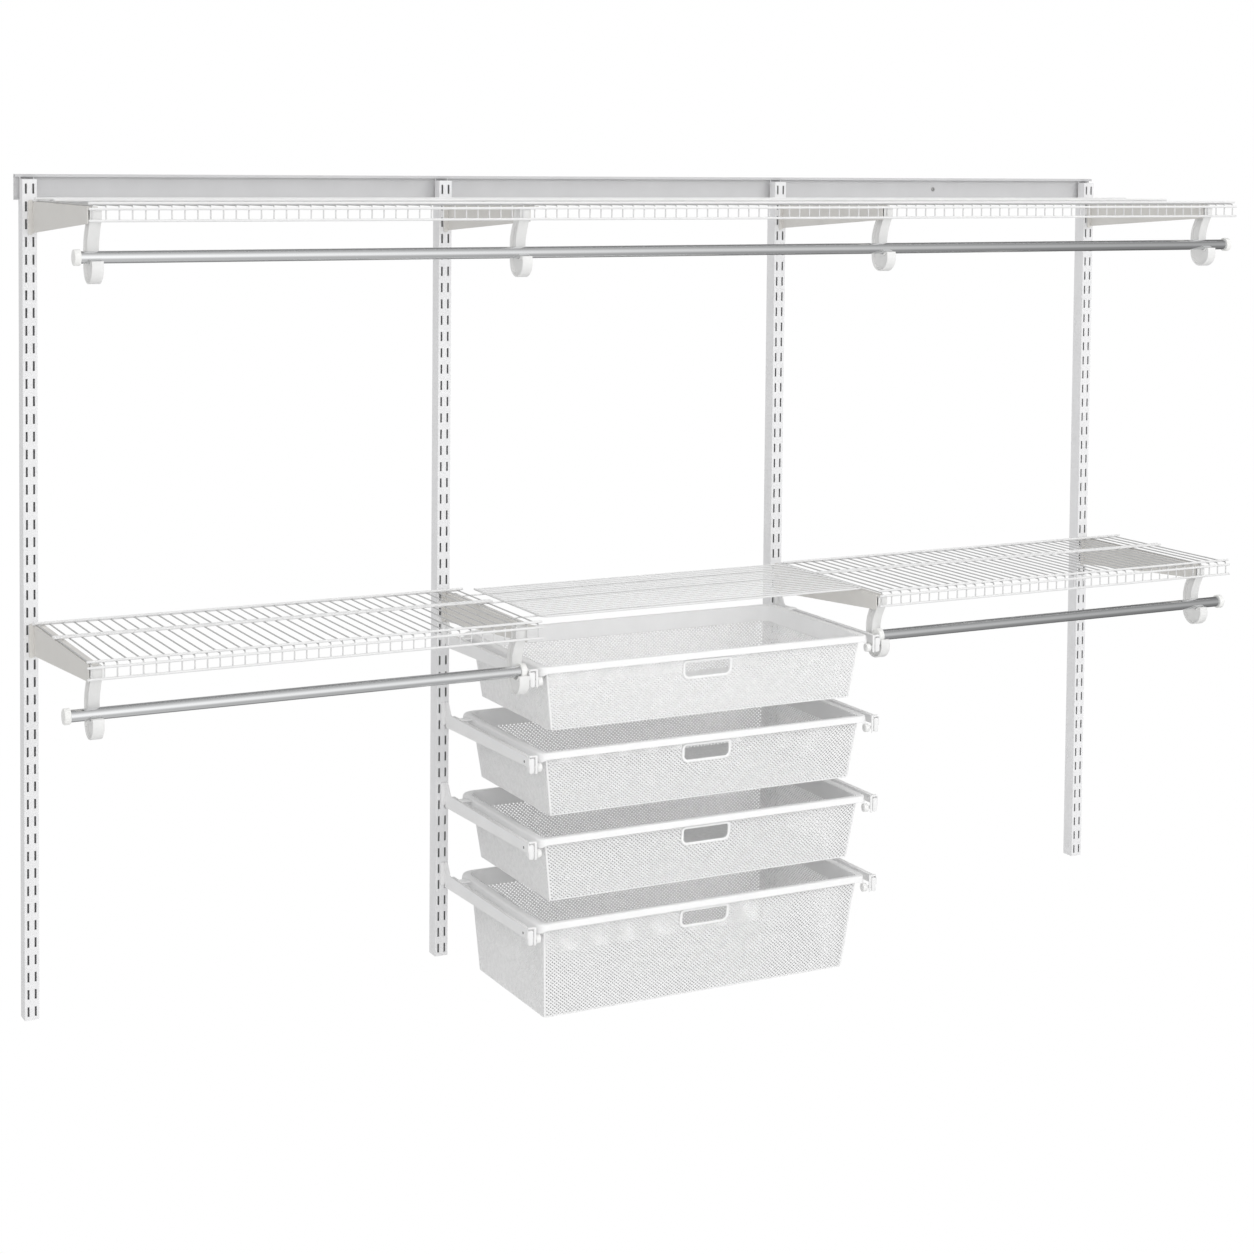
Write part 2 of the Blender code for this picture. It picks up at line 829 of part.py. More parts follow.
def handle_outline(half_width, half_height, low_corner, high_corner):
    """(x, z) outline with large lower corners and small upper ones."""
    outline = []
    corners = (
        (half_width - high_corner, half_height - high_corner, high_corner, 0),
        (-half_width + high_corner, half_height - high_corner, high_corner, 1),
        (-half_width + low_corner, -half_height + low_corner, low_corner, 2),
        (half_width - low_corner, -half_height + low_corner, low_corner, 3),
    )
    for x, z, radius, quarter in corners:
        for i in range(corner_segments + 1):
            angle = math.pi / 2 * (quarter + i / corner_segments)
            outline.append((x + radius * math.cos(angle), z + radius * math.sin(angle)))
    return outline


def turn(mesh, tilt, x, y, z):
    """Lean the mesh back by the tilt about the X axis, then move it."""
    cosine, sine = math.cos(tilt), math.sin(tilt)
    for vertex in mesh.vertices:
        a, b, c = vertex.co
        vertex.co = (x + a, y + b * cosine - c * sine, z + b * sine + c * cosine)


def drawer_arm(number, row, side, materials):
    """Arm on the left (side -1) or right (side 1) of a drawer, with its front stop, axle and roller."""
    x_slot = side * centre_bay / 2 + slot_column
    inward = -side
    x_outer = x_slot - inward * arm_plate / 2
    x_inner = x_slot + inward * arm_plate / 2
    y_rear = -(standard_depth + plate_gap)
    y_web = -(standard_depth - standard_sheet)
    middle = slot_z(row)
    top = middle - arm_top_drop

    def span(a, b):
        return min(a, b), max(a, b)

    outline = [
        (y_rear, middle + arm_rise),
        (y_rear - shoulder_step, middle + arm_rise),
        (y_rear - arm_shoulder, top),
        (-arm_front, top),
        (-arm_front, top - arm_front_height),
        (y_rear, middle - arm_rear_drop),
    ]
    mesh = along_x(outline, *span(x_outer, x_inner))
    teeth = [
        along_x(tooth_outline(y_rear - arm_plate, slot_z(row + step), y_web), *span(x_outer, x_inner))
        for step in (0, 1)
    ]
    flange = bar(
        *span(x_slot, x_inner + inward * arm_flange),
        -arm_front + arm_flange_end,
        y_rear - arm_shoulder,
        top - arm_flange_sheet,
        top,
    )
    foot_left = x_slot - foot_reach
    foot = along_y(
        rounded_foot(foot_left, x_slot, middle + arm_rise - arm_foot_height, middle + arm_rise),
        y_rear - foot_sheet,
        y_rear,
    )
    block = bar(
        *span(x_slot, x_inner + inward * arm_block_width),
        -arm_front,
        -arm_front + arm_block_depth,
        middle - arm_block_bottom,
        middle - arm_block_top,
    )
    stop_low = x_inner + inward * stop_inset
    stop_high = stop_low + inward * stop_width
    stop = bar(
        *span(stop_low, stop_high),
        -arm_front,
        -arm_front + stop_sheet,
        middle - rim_drop - stop_height,
        middle - rim_drop,
    )
    bridge = bar(
        *span(x_slot, stop_low + inward * stop_width / 2),
        -arm_front,
        -arm_front + arm_block_depth / 2,
        middle - rim_drop - stop_bar,
        middle - rim_drop,
    )
    roller_low = x_inner + inward * (rim_side_gap - roller_overhang)
    roller_high = roller_low + inward * roller_width
    axle_z = middle - rim_drop - rim_skirt - seat_gap - roller_radius
    axle = along_x(circle(-axle_front, axle_z, axle_radius, axle_segments), *span(x_slot, roller_high))
    mesh = joined(mesh, several(teeth), flange, foot)
    mesh = joined(mesh, block, bridge)
    mesh = joined(mesh, stop, axle)
    tag = "left" if side < 0 else "right"
    place("arm_%s_%d" % (tag, number), mesh, materials["arm"])

    hub = bpy.data.objects.new("roller_axis_%s_%d" % (tag, number), None)
    hub.location = ((roller_low + roller_high) / 2, -axle_front, axle_z)
    bpy.context.scene.collection.objects.link(hub)
    outer = circle(0, 0, roller_radius, roller_segments)
    inner = [(a * roller_bore / roller_radius, b * roller_bore / roller_radius) for a, b in outer]
    half = roller_width / 2
    loops = [[(-half, a, b) for a, b in outer], [(half, a, b) for a, b in outer]]
    loops += [[(half, a, b) for a, b in inner], [(-half, a, b) for a, b in inner]]
    tube = stack(loops, closed_ends=False)
    roller = place("roller_%s_%d" % (tag, number), tube, materials["roller"], parent=hub)
    smooth_by_angle(roller)


def build():
    clear_scene()
    materials = {
        "track": surface("track_steel", (0.82, 0.82, 0.83), 0.42, 0.0),
        "standard": surface("standard_steel", (0.86, 0.86, 0.87), 0.4, 0.0),
        "wire": surface("shelf_wire", (0.9, 0.9, 0.9), 0.36, 0.0),
        "bracket": surface("bracket_steel", (0.78, 0.77, 0.75), 0.42, 0.0),
        "hook": surface("hook_plastic", (0.86, 0.86, 0.85), 0.5, 0.0),
        "rod": surface("rod_chrome", (0.72, 0.72, 0.73), 0.12, 1.0),
        "cap": surface("cap_plastic", (0.9, 0.9, 0.89), 0.48, 0.0),
        "basket": surface("basket_steel", (0.86, 0.86, 0.86), 0.45, 0.0),
        "handle": surface("handle_plastic", (0.92, 0.92, 0.92), 0.45, 0.0),
        "arm": surface("arm_steel", (0.84, 0.84, 0.84), 0.42, 0.0),
        "roller": surface("roller_plastic", (0.9, 0.9, 0.9), 0.5, 0.0),
    }
    x_standards = [-centre_bay / 2 - side_bay, -centre_bay / 2, centre_bay / 2, centre_bay / 2 + side_bay]
    first, second, third, fourth = x_standards
    level_drop = (bracket_row_lower - bracket_row_upper) * slot_pitch
    deck_upper = -first_slot_drop - deck_drop - cross_wire / 2
    deck_lower = deck_upper - level_drop
    rod_upper = -rod_drop
    rod_lower = rod_upper - level_drop

    top_track(materials["track"])
    for number, x in enumerate(x_standards, 1):
        hang_standard("standard_%d" % number, x, materials["standard"])

    shelf_ends = (
        ("shelf_upper", first + upper_left_margin, fourth + upper_right_margin, deck_upper),
        ("shelf_lower_left", first + lower_left_start, second + lower_left_end, deck_lower),
        ("shelf_lower_right", third + lower_right_start, fourth + lower_right_end, deck_lower),
    )
    for name, x_low, x_high, deck in shelf_ends:
        lipped_shelf(name, x_low, x_high, deck, materials["wire"])
    framed_shelf("shelf_centre", deck_lower, materials["wire"])

    flange_gap = cross_wire / 2 + seat_gap
    stacked = flange_gap + cross_wire + seat_gap
    for number, x in enumerate(x_standards, 1):
        high = deck_upper - flange_gap
        shelf_bracket("bracket_upper_%d" % number, x, bracket_row_upper, high, materials["bracket"])
        low = deck_lower - (stacked if number in (2, 3) else flange_gap)
        shelf_bracket("bracket_lower_%d" % number, x, bracket_row_lower, low, materials["bracket"])

    for level, deck, z in (("upper", deck_upper, rod_upper), ("lower", deck_lower, rod_lower)):
        for number, x in enumerate(x_standards, 1):
            x_left = x + hook_side_offset
            if number == 2:
                # Beside the plate, clear of the drawer arms
                x_left = x + bracket_offset - seat_gap - hook_width
            holds_cap = level == "lower" and number in (2, 3)
            cradle = (cap_radius if holds_cap else rod_radius) + cradle_gap
            low_flange = level == "lower" and number == 3
            under = stacked if low_flange else flange_gap
            top = deck - under - bracket_plate - seat_gap
            rod_hook("rod_hook_%s_%d" % (level, number), x_left, z, top, cradle, materials["hook"])

    hook_left = second + bracket_offset - seat_gap - hook_width
    cap_play = (hook_width - cap_length) / 2
    rod_ends = (
        ("upper", first - upper_rod_left, fourth + upper_rod_right, rod_upper),
        ("lower_left", first - lower_rod_left, hook_left + hook_width - cap_play, rod_lower),
        ("lower_right", third + hook_side_offset + cap_play, fourth + lower_rod_right, rod_lower),
    )
    for tag, x_low, x_high, z in rod_ends:
        capped_rod(tag, x_low, x_high, z, materials["rod"], materials["cap"])

    for number, row in enumerate(drawer_rows, 1):
        deep = number == len(drawer_rows)
        basket(
            number,
            row,
            deep_depth if deep else shallow_depth,
            side_taper_deep if deep else side_taper_shallow,
            front_taper_deep if deep else front_taper_shallow,
            materials,
        )
        for side in (-1, 1):
            drawer_arm(number, row, side, materials)


build()
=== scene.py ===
import math

import bmesh
import bpy
from mathutils import Matrix, Vector


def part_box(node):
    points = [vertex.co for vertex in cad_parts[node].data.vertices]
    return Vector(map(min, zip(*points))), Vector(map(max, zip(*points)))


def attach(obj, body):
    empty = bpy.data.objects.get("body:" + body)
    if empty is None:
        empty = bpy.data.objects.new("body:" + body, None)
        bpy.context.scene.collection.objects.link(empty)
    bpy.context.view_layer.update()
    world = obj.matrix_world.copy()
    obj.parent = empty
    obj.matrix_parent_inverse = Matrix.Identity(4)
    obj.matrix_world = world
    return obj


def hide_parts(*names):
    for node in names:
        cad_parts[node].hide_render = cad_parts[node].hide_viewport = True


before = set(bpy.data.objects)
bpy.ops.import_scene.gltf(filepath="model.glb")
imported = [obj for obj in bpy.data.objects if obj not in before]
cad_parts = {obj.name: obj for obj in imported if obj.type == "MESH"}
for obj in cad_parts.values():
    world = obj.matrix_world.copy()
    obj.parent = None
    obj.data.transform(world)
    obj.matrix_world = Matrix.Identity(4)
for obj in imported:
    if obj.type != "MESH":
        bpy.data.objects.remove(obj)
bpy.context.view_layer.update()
print("frame loaded:", len(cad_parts), "nodes")

mm = 0.001


# Small helpers

def srgb(code, share=1.0):
    # a share of a hex colour, as the linear values that shaders take
    parts = [int(int(code[i:i + 2], 16) * share) / 255 for i in (1, 3, 5)]
    linear = [c / 12.92 if c <= 0.04045 else ((c + 0.055) / 1.055) ** 2.4 for c in parts]
    return (*linear, 1.0)


def metres(value):
    # lengths given in millimetres, also inside tuples and dictionaries
    if isinstance(value, dict):
        return {key: metres(part) for key, part in value.items()}
    return tuple(map(metres, value)) if isinstance(value, tuple) else value * mm


def addNode(tree, kind, settings=None, values=None, links=None):
    # one node with its settings, values and links; a link from a node takes its first output
    node = tree.nodes.new(kind)
    for key, value in (settings or {}).items():
        setattr(node, key, value)
    for key, value in (values or {}).items():
        node.inputs[key].default_value = value
    for key, source in (links or {}).items():
        tree.links.new(source.outputs[0] if hasattr(source, "outputs") else source, node.inputs[key])
    return node


def placed(name, data):
    item = bpy.data.objects.new(name, data)
    bpy.context.scene.collection.objects.link(item)
    return item


def finishPiece(name, mesh, material, body, covers=(), sharpAngle=35):
    # one finished mesh at the origin, riding its body and standing for its CAD nodes
    mesh.materials.clear()
    mesh.materials.append(materials[material])
    mesh.polygons.foreach_set("use_smooth", [True] * len(mesh.polygons))
    mesh.set_sharp_from_angle(angle=math.radians(sharpAngle))
    piece = placed(name, mesh)
    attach(piece, body)
    if covers:
        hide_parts(*covers)
    return piece


def along(node):
    # the ends of a CAD node along X and the middle of its depth and height
    low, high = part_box(node)
    return low.x, high.x, (low.y + high.y) / 2, (low.z + high.z) / 2


def toMesh(work):
    mesh = bpy.data.meshes.new("piece")
    work.to_mesh(mesh)
    work.free()
    return mesh


def joinMeshes(meshes):
    work = bmesh.new()
    for mesh in meshes:
        work.from_mesh(mesh)
    return toMesh(work)


def skinLoops(loops, ring=False):
    # closed skin over loops with the same number of points
    work = bmesh.new()
    rows = [[work.verts.new(point) for point in loop] for loop in loops]
    count = len(loops[0])
    pairs = list(zip(rows, rows[1:])) + ([(rows[-1], rows[0])] if ring else [])
    for one, two in pairs:
        for i in range(count):
            j = (i + 1) % count
            work.faces.new((one[i], one[j], two[j], two[i]))
    if not ring:
        work.faces.new(rows[0])
        work.faces.new(rows[-1])
    bmesh.ops.recalc_face_normals(work, faces=work.faces)
    return toMesh(work)


def boxMesh(one, two, bevel=0.0):
    low, high = zip(*(sorted(pair) for pair in zip(one, two)))
    work = bmesh.new()
    bmesh.ops.create_cube(work, size=1.0)
    for vert in work.verts:
        vert.co = [low[k] + (vert.co[k] + 0.5) * (high[k] - low[k]) for k in range(3)]
    if bevel:
        bmesh.ops.bevel(work, geom=list(work.edges), offset=bevel, segments=2, affect="EDGES", profile=0.5)
    return toMesh(work)


def turnedAlongX(profile, y, z, sides=48, ring=False):
    # round piece on an axis along X; the profile is (x, radius) from one end to the other
    turns = [math.tau * i / sides for i in range(sides)]
    loops = [[(x, y + radius * math.cos(turn), z + radius * math.sin(turn)) for turn in turns]
             for x, radius in profile]
    return skinLoops(loops, ring)


def roundedLoop(xLow, xHigh, yLow, yHigh, lowCorner, highCorner, z=0.0, steps=8):
    # anticlockwise rectangle, rounded with one radius at its low side and one at its high side
    loop = []
    corners = (
        (xHigh - highCorner, yHigh - highCorner, highCorner),
        (xLow + highCorner, yHigh - highCorner, highCorner),
        (xLow + lowCorner, yLow + lowCorner, lowCorner),
        (xHigh - lowCorner, yLow + lowCorner, lowCorner),
    )
    for quarter, (x, y, radius) in enumerate(corners):
        for i in range(steps + 1):
            angle = math.pi / 2 * (quarter + i / steps)
            loop.append((x + radius * math.cos(angle), y + radius * math.sin(angle), z))
    return loop


# Materials

# shade: the darker tone's share of the colour; patch and bumpSize: mm between changes of tone and between bumps
powderCoat = {
    # polyester powder sprayed and baked on steel: satin, its faint orange peel blurs what it reflects
    "shade": 0.985, "patch": 60.0, "roughness": 0.42,
    "bumpSize": 1.6, "bumpDepth": 0.05,  # the peel is drawn coarser than real so that it shows
}
# the cross wires' darker grey is painted shade on the same white coat as the long wires, and the turned ends' paler
# grey is painted light
coatColours = {
    "track": "#cfcfd0", "standard": "#eeeeef", "longWire": "#e9e9e9", "crossWire": "#c6c6c6",
    "turnedEnd": "#e2e2e2", "bracket": "#dedcd8", "arm": "#f0f0f0", "rim": "#f6f6f6",
}
expandedMesh = {
    # sheet slit, stretched and powder coated: its thousands of strands read as a soft pale grain
    "colour": "#f7f7f7", "shade": 0.96, "patch": 9.0, "roughness": 0.5, "bumpSize": 0.8, "bumpDepth": 0.05,
}
moulding = {
    # matt white mouldings: the mould's spark grain spreads their highlights evenly
    "shade": 0.98, "patch": 25.0, "bumpSize": 0.5, "bumpDepth": 0.02,
}
resins = {
    # each with its own sheen: milky polypropylene, waxy polyethylene, bright ABS and dense acetal
    "hook": ("mouldedPolypropylene", "#ececeb", 0.46),
    "cap": ("mouldedPolyethylene", "#f4f4f2", 0.42),
    "handle": ("mouldedAbs", "#fafafa", 0.4),
    "roller": ("mouldedAcetal", "#f4f4f3", 0.38),
}
paintedShadeFinish = {
    # a dark grey strip behind the slots: painted shade standing in for the dark inside the closed channel, so that
    # the slots read as holes; the arms' fixing holes take it too
    "colour": "#7a7a7b", "shade": 0.865, "patch": 12.0, "roughness": 0.6, "bumpSize": 2.0, "bumpDepth": 0.05,
}
zincPlate = {
    # bright zinc plated screw: a small cool glint on the track
    "colour": "#b9b9b8", "shade": 0.895, "patch": 6.0, "roughness": 0.35, "bumpSize": 0.6, "bumpDepth": 0.05,
    "metallic": 0.6,
}
chrome = {
    # drawn tube with polished chrome plate: mirror bright, with fine drawing lines along it
    "colour": "#e4e5e6", "shade": 0.96, "patch": 40.0, "roughness": 0.07, "bumpSize": 0.35, "bumpDepth": 0.02,
    "metallic": 1.0, "stretch": (0.02, 1, 1),
}


def surfaceMaterial(name, colour, shade, patch, roughness, bumpSize, bumpDepth, metallic=0.0, stretch=(1, 1, 1)):
    material = bpy.data.materials.new(name)
    material.use_nodes = True
    tree = material.node_tree
    shader = tree.nodes["Principled BSDF"]
    shader.inputs["Metallic"].default_value = metallic
    place = addNode(tree, "ShaderNodeTexCoord").outputs["Object"]
    pattern = addNode(tree, "ShaderNodeMapping", values={"Scale": stretch}, links={"Vector": place})
    cloud = addNode(tree, "ShaderNodeTexNoise", values={"Scale": 1 / (patch * mm), "Detail": 3.0},
                    links={"Vector": pattern})
    ramp = addNode(tree, "ShaderNodeValToRGB", links={"Fac": cloud})
    for element, position, share in zip(ramp.color_ramp.elements, (0.3, 0.7), (shade, 1.0)):
        element.position = position
        element.color = srgb(colour, share)
    spread = addNode(tree, "ShaderNodeMapRange", links={"Value": cloud},
                     values={"To Min": roughness - 0.04, "To Max": roughness + 0.05})
    grain = addNode(tree, "ShaderNodeTexNoise", values={"Scale": 1 / (bumpSize * mm), "Detail": 2.0},
                    links={"Vector": pattern})
    bump = addNode(tree, "ShaderNodeBump", values={"Strength": bumpDepth, "Distance": 0.1 * mm},
                   links={"Height": grain})
    for source, target in ((ramp, "Base Color"), (spread, "Roughness"), (bump, "Normal")):
        tree.links.new(source.outputs[0], shader.inputs[target])
    return material


materials = {
    "mesh": surfaceMaterial("powderCoatedExpandedMesh", **expandedMesh),
    "holeShade": surfaceMaterial("paintedHoleShade", **paintedShadeFinish),
    "screw": surfaceMaterial("zincPlatedScrew", **zincPlate),
    "chrome": surfaceMaterial("chromePlatedTube", **chrome),
}
for key, colour in coatColours.items():
    materials[key] = surfaceMaterial("powderCoated" + key[0].upper() + key[1:], colour, **powderCoat)
for key, (name, colour, roughness) in resins.items():
    materials[key] = surfaceMaterial(name, colour, roughness=roughness, **moulding)
print("materials made:", len(materials))


# Node trees and the meshes they grow

def newTree(name, inputs):
    tree = bpy.data.node_groups.new(name, "GeometryNodeTree")
    for label, kind in {"Geometry": "Geometry", **inputs}.items():
        tree.interface.new_socket(label, in_out="INPUT", socket_type="NodeSocket" + kind)
    tree.interface.new_socket("Geometry", in_out="OUTPUT", socket_type="NodeSocketGeometry")
    return tree, addNode(tree, "NodeGroupInput").outputs


def repeated(tree, given, geometry):
    # Count copies of the geometry, a Step apart
    row = addNode(tree, "GeometryNodeMeshLine", {"mode": "OFFSET"},
                  links={"Count": given["Count"], "Offset": given["Step"]})
    return addNode(tree, "GeometryNodeInstanceOnPoints", links={"Points": row, "Instance": geometry})


def closeTree(tree, given, geometry):
    real = addNode(tree, "GeometryNodeRealizeInstances", links={"Geometry": geometry})
    coat = addNode(tree, "GeometryNodeSetMaterial", links={"Geometry": real, "Material": given["Material"]})
    addNode(tree, "NodeGroupOutput", links={"Geometry": coat})


def grown(host, tree, values):
    holder = placed("holder", host)
    grow = holder.modifiers.new("grow", "NODES")
    grow.node_group = tree
    for socket in tree.interface.items_tree:
        if socket.name in values:
            grow[socket.identifier] = values[socket.name]
    graph = bpy.context.evaluated_depsgraph_get()
    result = bpy.data.meshes.new_from_object(holder.evaluated_get(graph))
    bpy.data.objects.remove(holder, do_unlink=True)
    return result


def pathHost(paths):
    # one mesh of edges along the paths, each a list of (point, value)
    points, edges = [], []
    for path in paths:
        edges += [(len(points) + i, len(points) + i + 1) for i in range(len(path) - 1)]
        points += [tuple(point) for point, value in path]
    host = bpy.data.meshes.new("path")
    host.from_pydata(points, edges, [])
    return host


# Wires, swept and repeated by one node tree

def buildWireTree():
    tree, given = newTree("wireRow", {
        "Bend Radius": "Float", "Bend Steps": "Int", "Sides": "Int", "Count": "Int", "Step": "Vector",
        "Material": "Material"})
    path = addNode(tree, "GeometryNodeMeshToCurve", links={"Mesh": given["Geometry"]})
    bend = addNode(tree, "GeometryNodeFilletCurve", {"mode": "POLY"}, {"Limit Radius": True},
                   {"Curve": path, "Radius": given["Bend Radius"], "Count": given["Bend Steps"]})
    thickness = addNode(tree, "GeometryNodeInputNamedAttribute", {"data_type": "FLOAT"}, {"Name": "thickness"})
    radius = addNode(tree, "GeometryNodeSetCurveRadius", links={"Curve": bend, "Radius": thickness})
    section = addNode(tree, "GeometryNodeCurvePrimitiveCircle", {"mode": "RADIUS"}, {"Radius": 1.0},
                      {"Resolution": given["Sides"]})
    sweep = addNode(tree, "GeometryNodeCurveToMesh", values={"Fill Caps": True},
                    links={"Curve": radius, "Profile Curve": section, "Scale": thickness})
    closeTree(tree, given, repeated(tree, given, sweep))
    return tree


wireTree = buildWireTree()
wireEnd = ((0.0, 0.45), (0.35, 0.86), (1.0, 1.0))  # dome of a cut end: way in and radius, as shares of the radius


def domedPath(points, radius):
    # a straight or bent wire whose two cut ends are rounded over
    points = [Vector(point) for point in points]

    def dome(end, inner):
        direction = (inner - end).normalized()
        return [(end + direction * radius * wayIn, radius * share) for wayIn, share in wireEnd]

    middle = [(point, radius) for point in points[1:-1]]
    return dome(points[0], points[1]) + middle + dome(points[-1], points[-2])[::-1]


def growWires(paths, material, count=1, step=(0, 0, 0), bendRadius=0.0, sides=10):
    # paths of (point, radius) swept round and copied along the step
    host = pathHost(paths)
    thickness = host.attributes.new("thickness", "FLOAT", "POINT")
    thickness.data.foreach_set("value", [radius for path in paths for point, radius in path])
    return grown(host, wireTree, {
        "Bend Radius": bendRadius, "Bend Steps": 5, "Sides": sides, "Count": count, "Step": step,
        "Material": materials[material]})


shelf = metres({
    "crossWire": 2.8, "longWire": 4.6, "rearWire": 5.0,
    "deckGap": 0.3,  # between the deck's cross wires and the long wires that lie on them
    "pitch": 22.4, "endMargin": 8.0, "frontBend": 5.0,
    "lipDrop": 9.6, "lowestDrop": 29.4, "middlePair": 186.0, "pairGap": 10.0, "rearPairGap": 10.0,
}) | {"turnedPast": 0.7}  # past the lowest wire, in cross wire radii


def lippedShelf(node):
    low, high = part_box(node)
    longRadius = shelf["longWire"] / 2
    crossRadius = shelf["crossWire"] / 2
    top = high.z - longRadius  # centre of the wires that lie on the deck
    deck = high.z - shelf["longWire"] - shelf["deckGap"] - crossRadius
    lipY = low.y + longRadius
    turnedY = lipY + longRadius + crossRadius
    rearY = high.y - shelf["rearWire"] / 2
    first = low.x + shelf["endMargin"]
    span = high.x - low.x - 2 * shelf["endMargin"]
    count = round(span / shelf["pitch"]) + 1
    lowest = top - shelf["lowestDrop"]
    corners = ((rearY, deck), (turnedY, deck), (turnedY, lowest - crossRadius * shelf["turnedPast"]))
    cross = [((first, y, z), crossRadius) for y, z in corners]
    # the deck's cross wires take the darker grey: painted shade
    crossWires = growWires([cross], "crossWire", count, (span / (count - 1), 0, 0), shelf["frontBend"], 8)
    middle = -shelf["middlePair"]
    rearPair = rearY - shelf["rearWire"] / 2 - shelf["rearPairGap"]
    places = (
        (lipY + longRadius * 2, top), (lipY, top - shelf["lipDrop"]), (lipY, lowest),
        (middle - shelf["pairGap"] / 2, top), (middle + shelf["pairGap"] / 2, top), (rearPair, top),
    )
    longPaths = [domedPath([(low.x, y, z), (high.x, y, z)], longRadius) for y, z in places]
    longPaths.append(domedPath([(low.x, rearY, deck), (high.x, rearY, deck)], shelf["rearWire"] / 2))
    longWires = growWires(longPaths, "longWire", sides=14)
    piece = finishPiece(node + "CrossWires", crossWires, "crossWire", "frame", [node], 50)
    # the ends turned down behind the lip take a paler grey than the deck's cross wires: painted light where they
    # catch the room's light
    piece.data.materials.append(materials["turnedEnd"])
    for face in piece.data.polygons:
        if face.center.z < deck - crossRadius * 1.5:
            face.material_index = 1
    finishPiece(node + "LongWires", longWires, "longWire", "frame", [node], 50)
    return deck


centreShelf = metres({
    "left": -320.5, "right": 393.5,  # outsides of the bent frame wire
    "frameWire": 4.0, "corner": 16.0, "middleTail": -165.0, "tailGap": 0.1,
}) | {"wires": 19}


def wallwaysShelf(node, deck):
    # wires along the wall in a bent frame wire, on three wires whose tails reach the brackets
    low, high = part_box(node)
    half = centreShelf["frameWire"] / 2
    crossRadius = shelf["crossWire"] / 2
    left, right = centreShelf["left"] + half, centreShelf["right"] - half
    front, rear = low.y + half, high.y - half
    corners = [(left, rear + half, deck), (left, front, deck), (right, front, deck), (right, rear + half, deck)]
    frameWire = growWires([domedPath(corners, half)], "longWire", bendRadius=centreShelf["corner"], sides=12)
    spacing = (rear - front - centreShelf["frameWire"]) / (centreShelf["wires"] - 1)
    run = [((x, front + half + spacing, deck), crossRadius) for x in (left, right)]
    crossWires = growWires([run], "longWire", centreShelf["wires"] - 1, (0, spacing, 0), sides=8)
    under = deck - crossRadius * 2 - centreShelf["tailGap"]
    tails = []
    for wireY in (centreShelf["middleTail"], rear - 2 * spacing, front + 2 * spacing):
        y = wireY - spacing / 2
        tails.append(domedPath([(low.x, y, under), (high.x, y, under)], crossRadius))
    tailWires = growWires(tails, "longWire", sides=8)
    finishPiece(node + "Wires", joinMeshes([crossWires, frameWire, tailWires]), "longWire", "frame",
                [node], 50)


for shelfNode in ("shelf_upper", "shelf_lower_left", "shelf_lower_right"):
    lowerDeck = lippedShelf(shelfNode)
wallwaysShelf("shelf_centre", lowerDeck)
print("shelves grown")


# Rods and their caps

rod = metres({"radius": 10.5, "wall": 1.2})
cap = metres({
    "radius": 13.85, "edge": 1.6, "wall": 2.0, "length": 11.0,
    "mouth": 0.6, "fit": 0.2, "pole": 0.6, "dimple": 0.3,
}) | {"dimpleEdge": (0.3, 0.35, 0.42)}  # shares of the radius


def chromeRod(node):
    left, right, y, z = along(node)
    outer, inner = rod["radius"], rod["radius"] - rod["wall"]
    tube = turnedAlongX(((left, outer), (right, outer), (right, inner), (left, inner)), y, z, 64, ring=True)
    finishPiece(node + "Tube", tube, "chrome", "frame", [node])


def rodCap(node):
    # from the closed end's dimple over its rounded edge to the mouth, and back inside
    left, right, y, z = along(node)
    closed, way = (left, 1) if node.endswith("_left") else (right, -1)
    mouth = closed + way * min(cap["length"], right - left)
    r, e, inner = cap["radius"], cap["edge"], rod["radius"] + cap["fit"]
    floor, (middle, low, high) = closed + way * cap["dimple"], cap["dimpleEdge"]
    profile = [(floor, cap["pole"]), (floor, r * middle), (floor, r * low), (closed, r * high)]
    for i in (4, 3, 2, 1, 0):
        angle = math.pi / 2 * i / 4
        profile.append((closed + way * e * (1 - math.sin(angle)), r - e + e * math.cos(angle)))
    profile += [(mouth - way * cap["mouth"], r), (mouth, r - cap["mouth"]), (mouth, inner),
                (closed + way * cap["wall"], inner), (closed + way * cap["wall"], cap["pole"])]
    finishPiece(node + "Shell", turnedAlongX(profile, y, z), "cap", "frame", [node], 30)


for tag in ("upper", "lower_left", "lower_right"):
    chromeRod(f"rod_{tag}")
    rodCap(f"cap_{tag}_left")
    rodCap(f"cap_{tag}_right")
print("rods made")


# Moulded rod hooks

hook = metres({
    "rear": 36.0, "front": 21.0, "bottom": 45.0, "lipDrop": 6.0, "tip": 1.2,
    "strapRear": 17.0, "topFront": 7.9, "bowHeight": 50.0, "rearSwell": 1.0,
    "rim": 2.6, "recess": 5.5, "rimRound": 0.4, "webRound": 0.8, "edge": 0.7,
    "rodForward": 403.0, "cradleGap": 0.4,
}) | {
    "strapStart": 0.3,  # where the strap's rear edge leaves the wheel, as a share of the bottom's depth
    "strapSteps": 14, "cradleSteps": 20, "wheelSteps": 24,
}


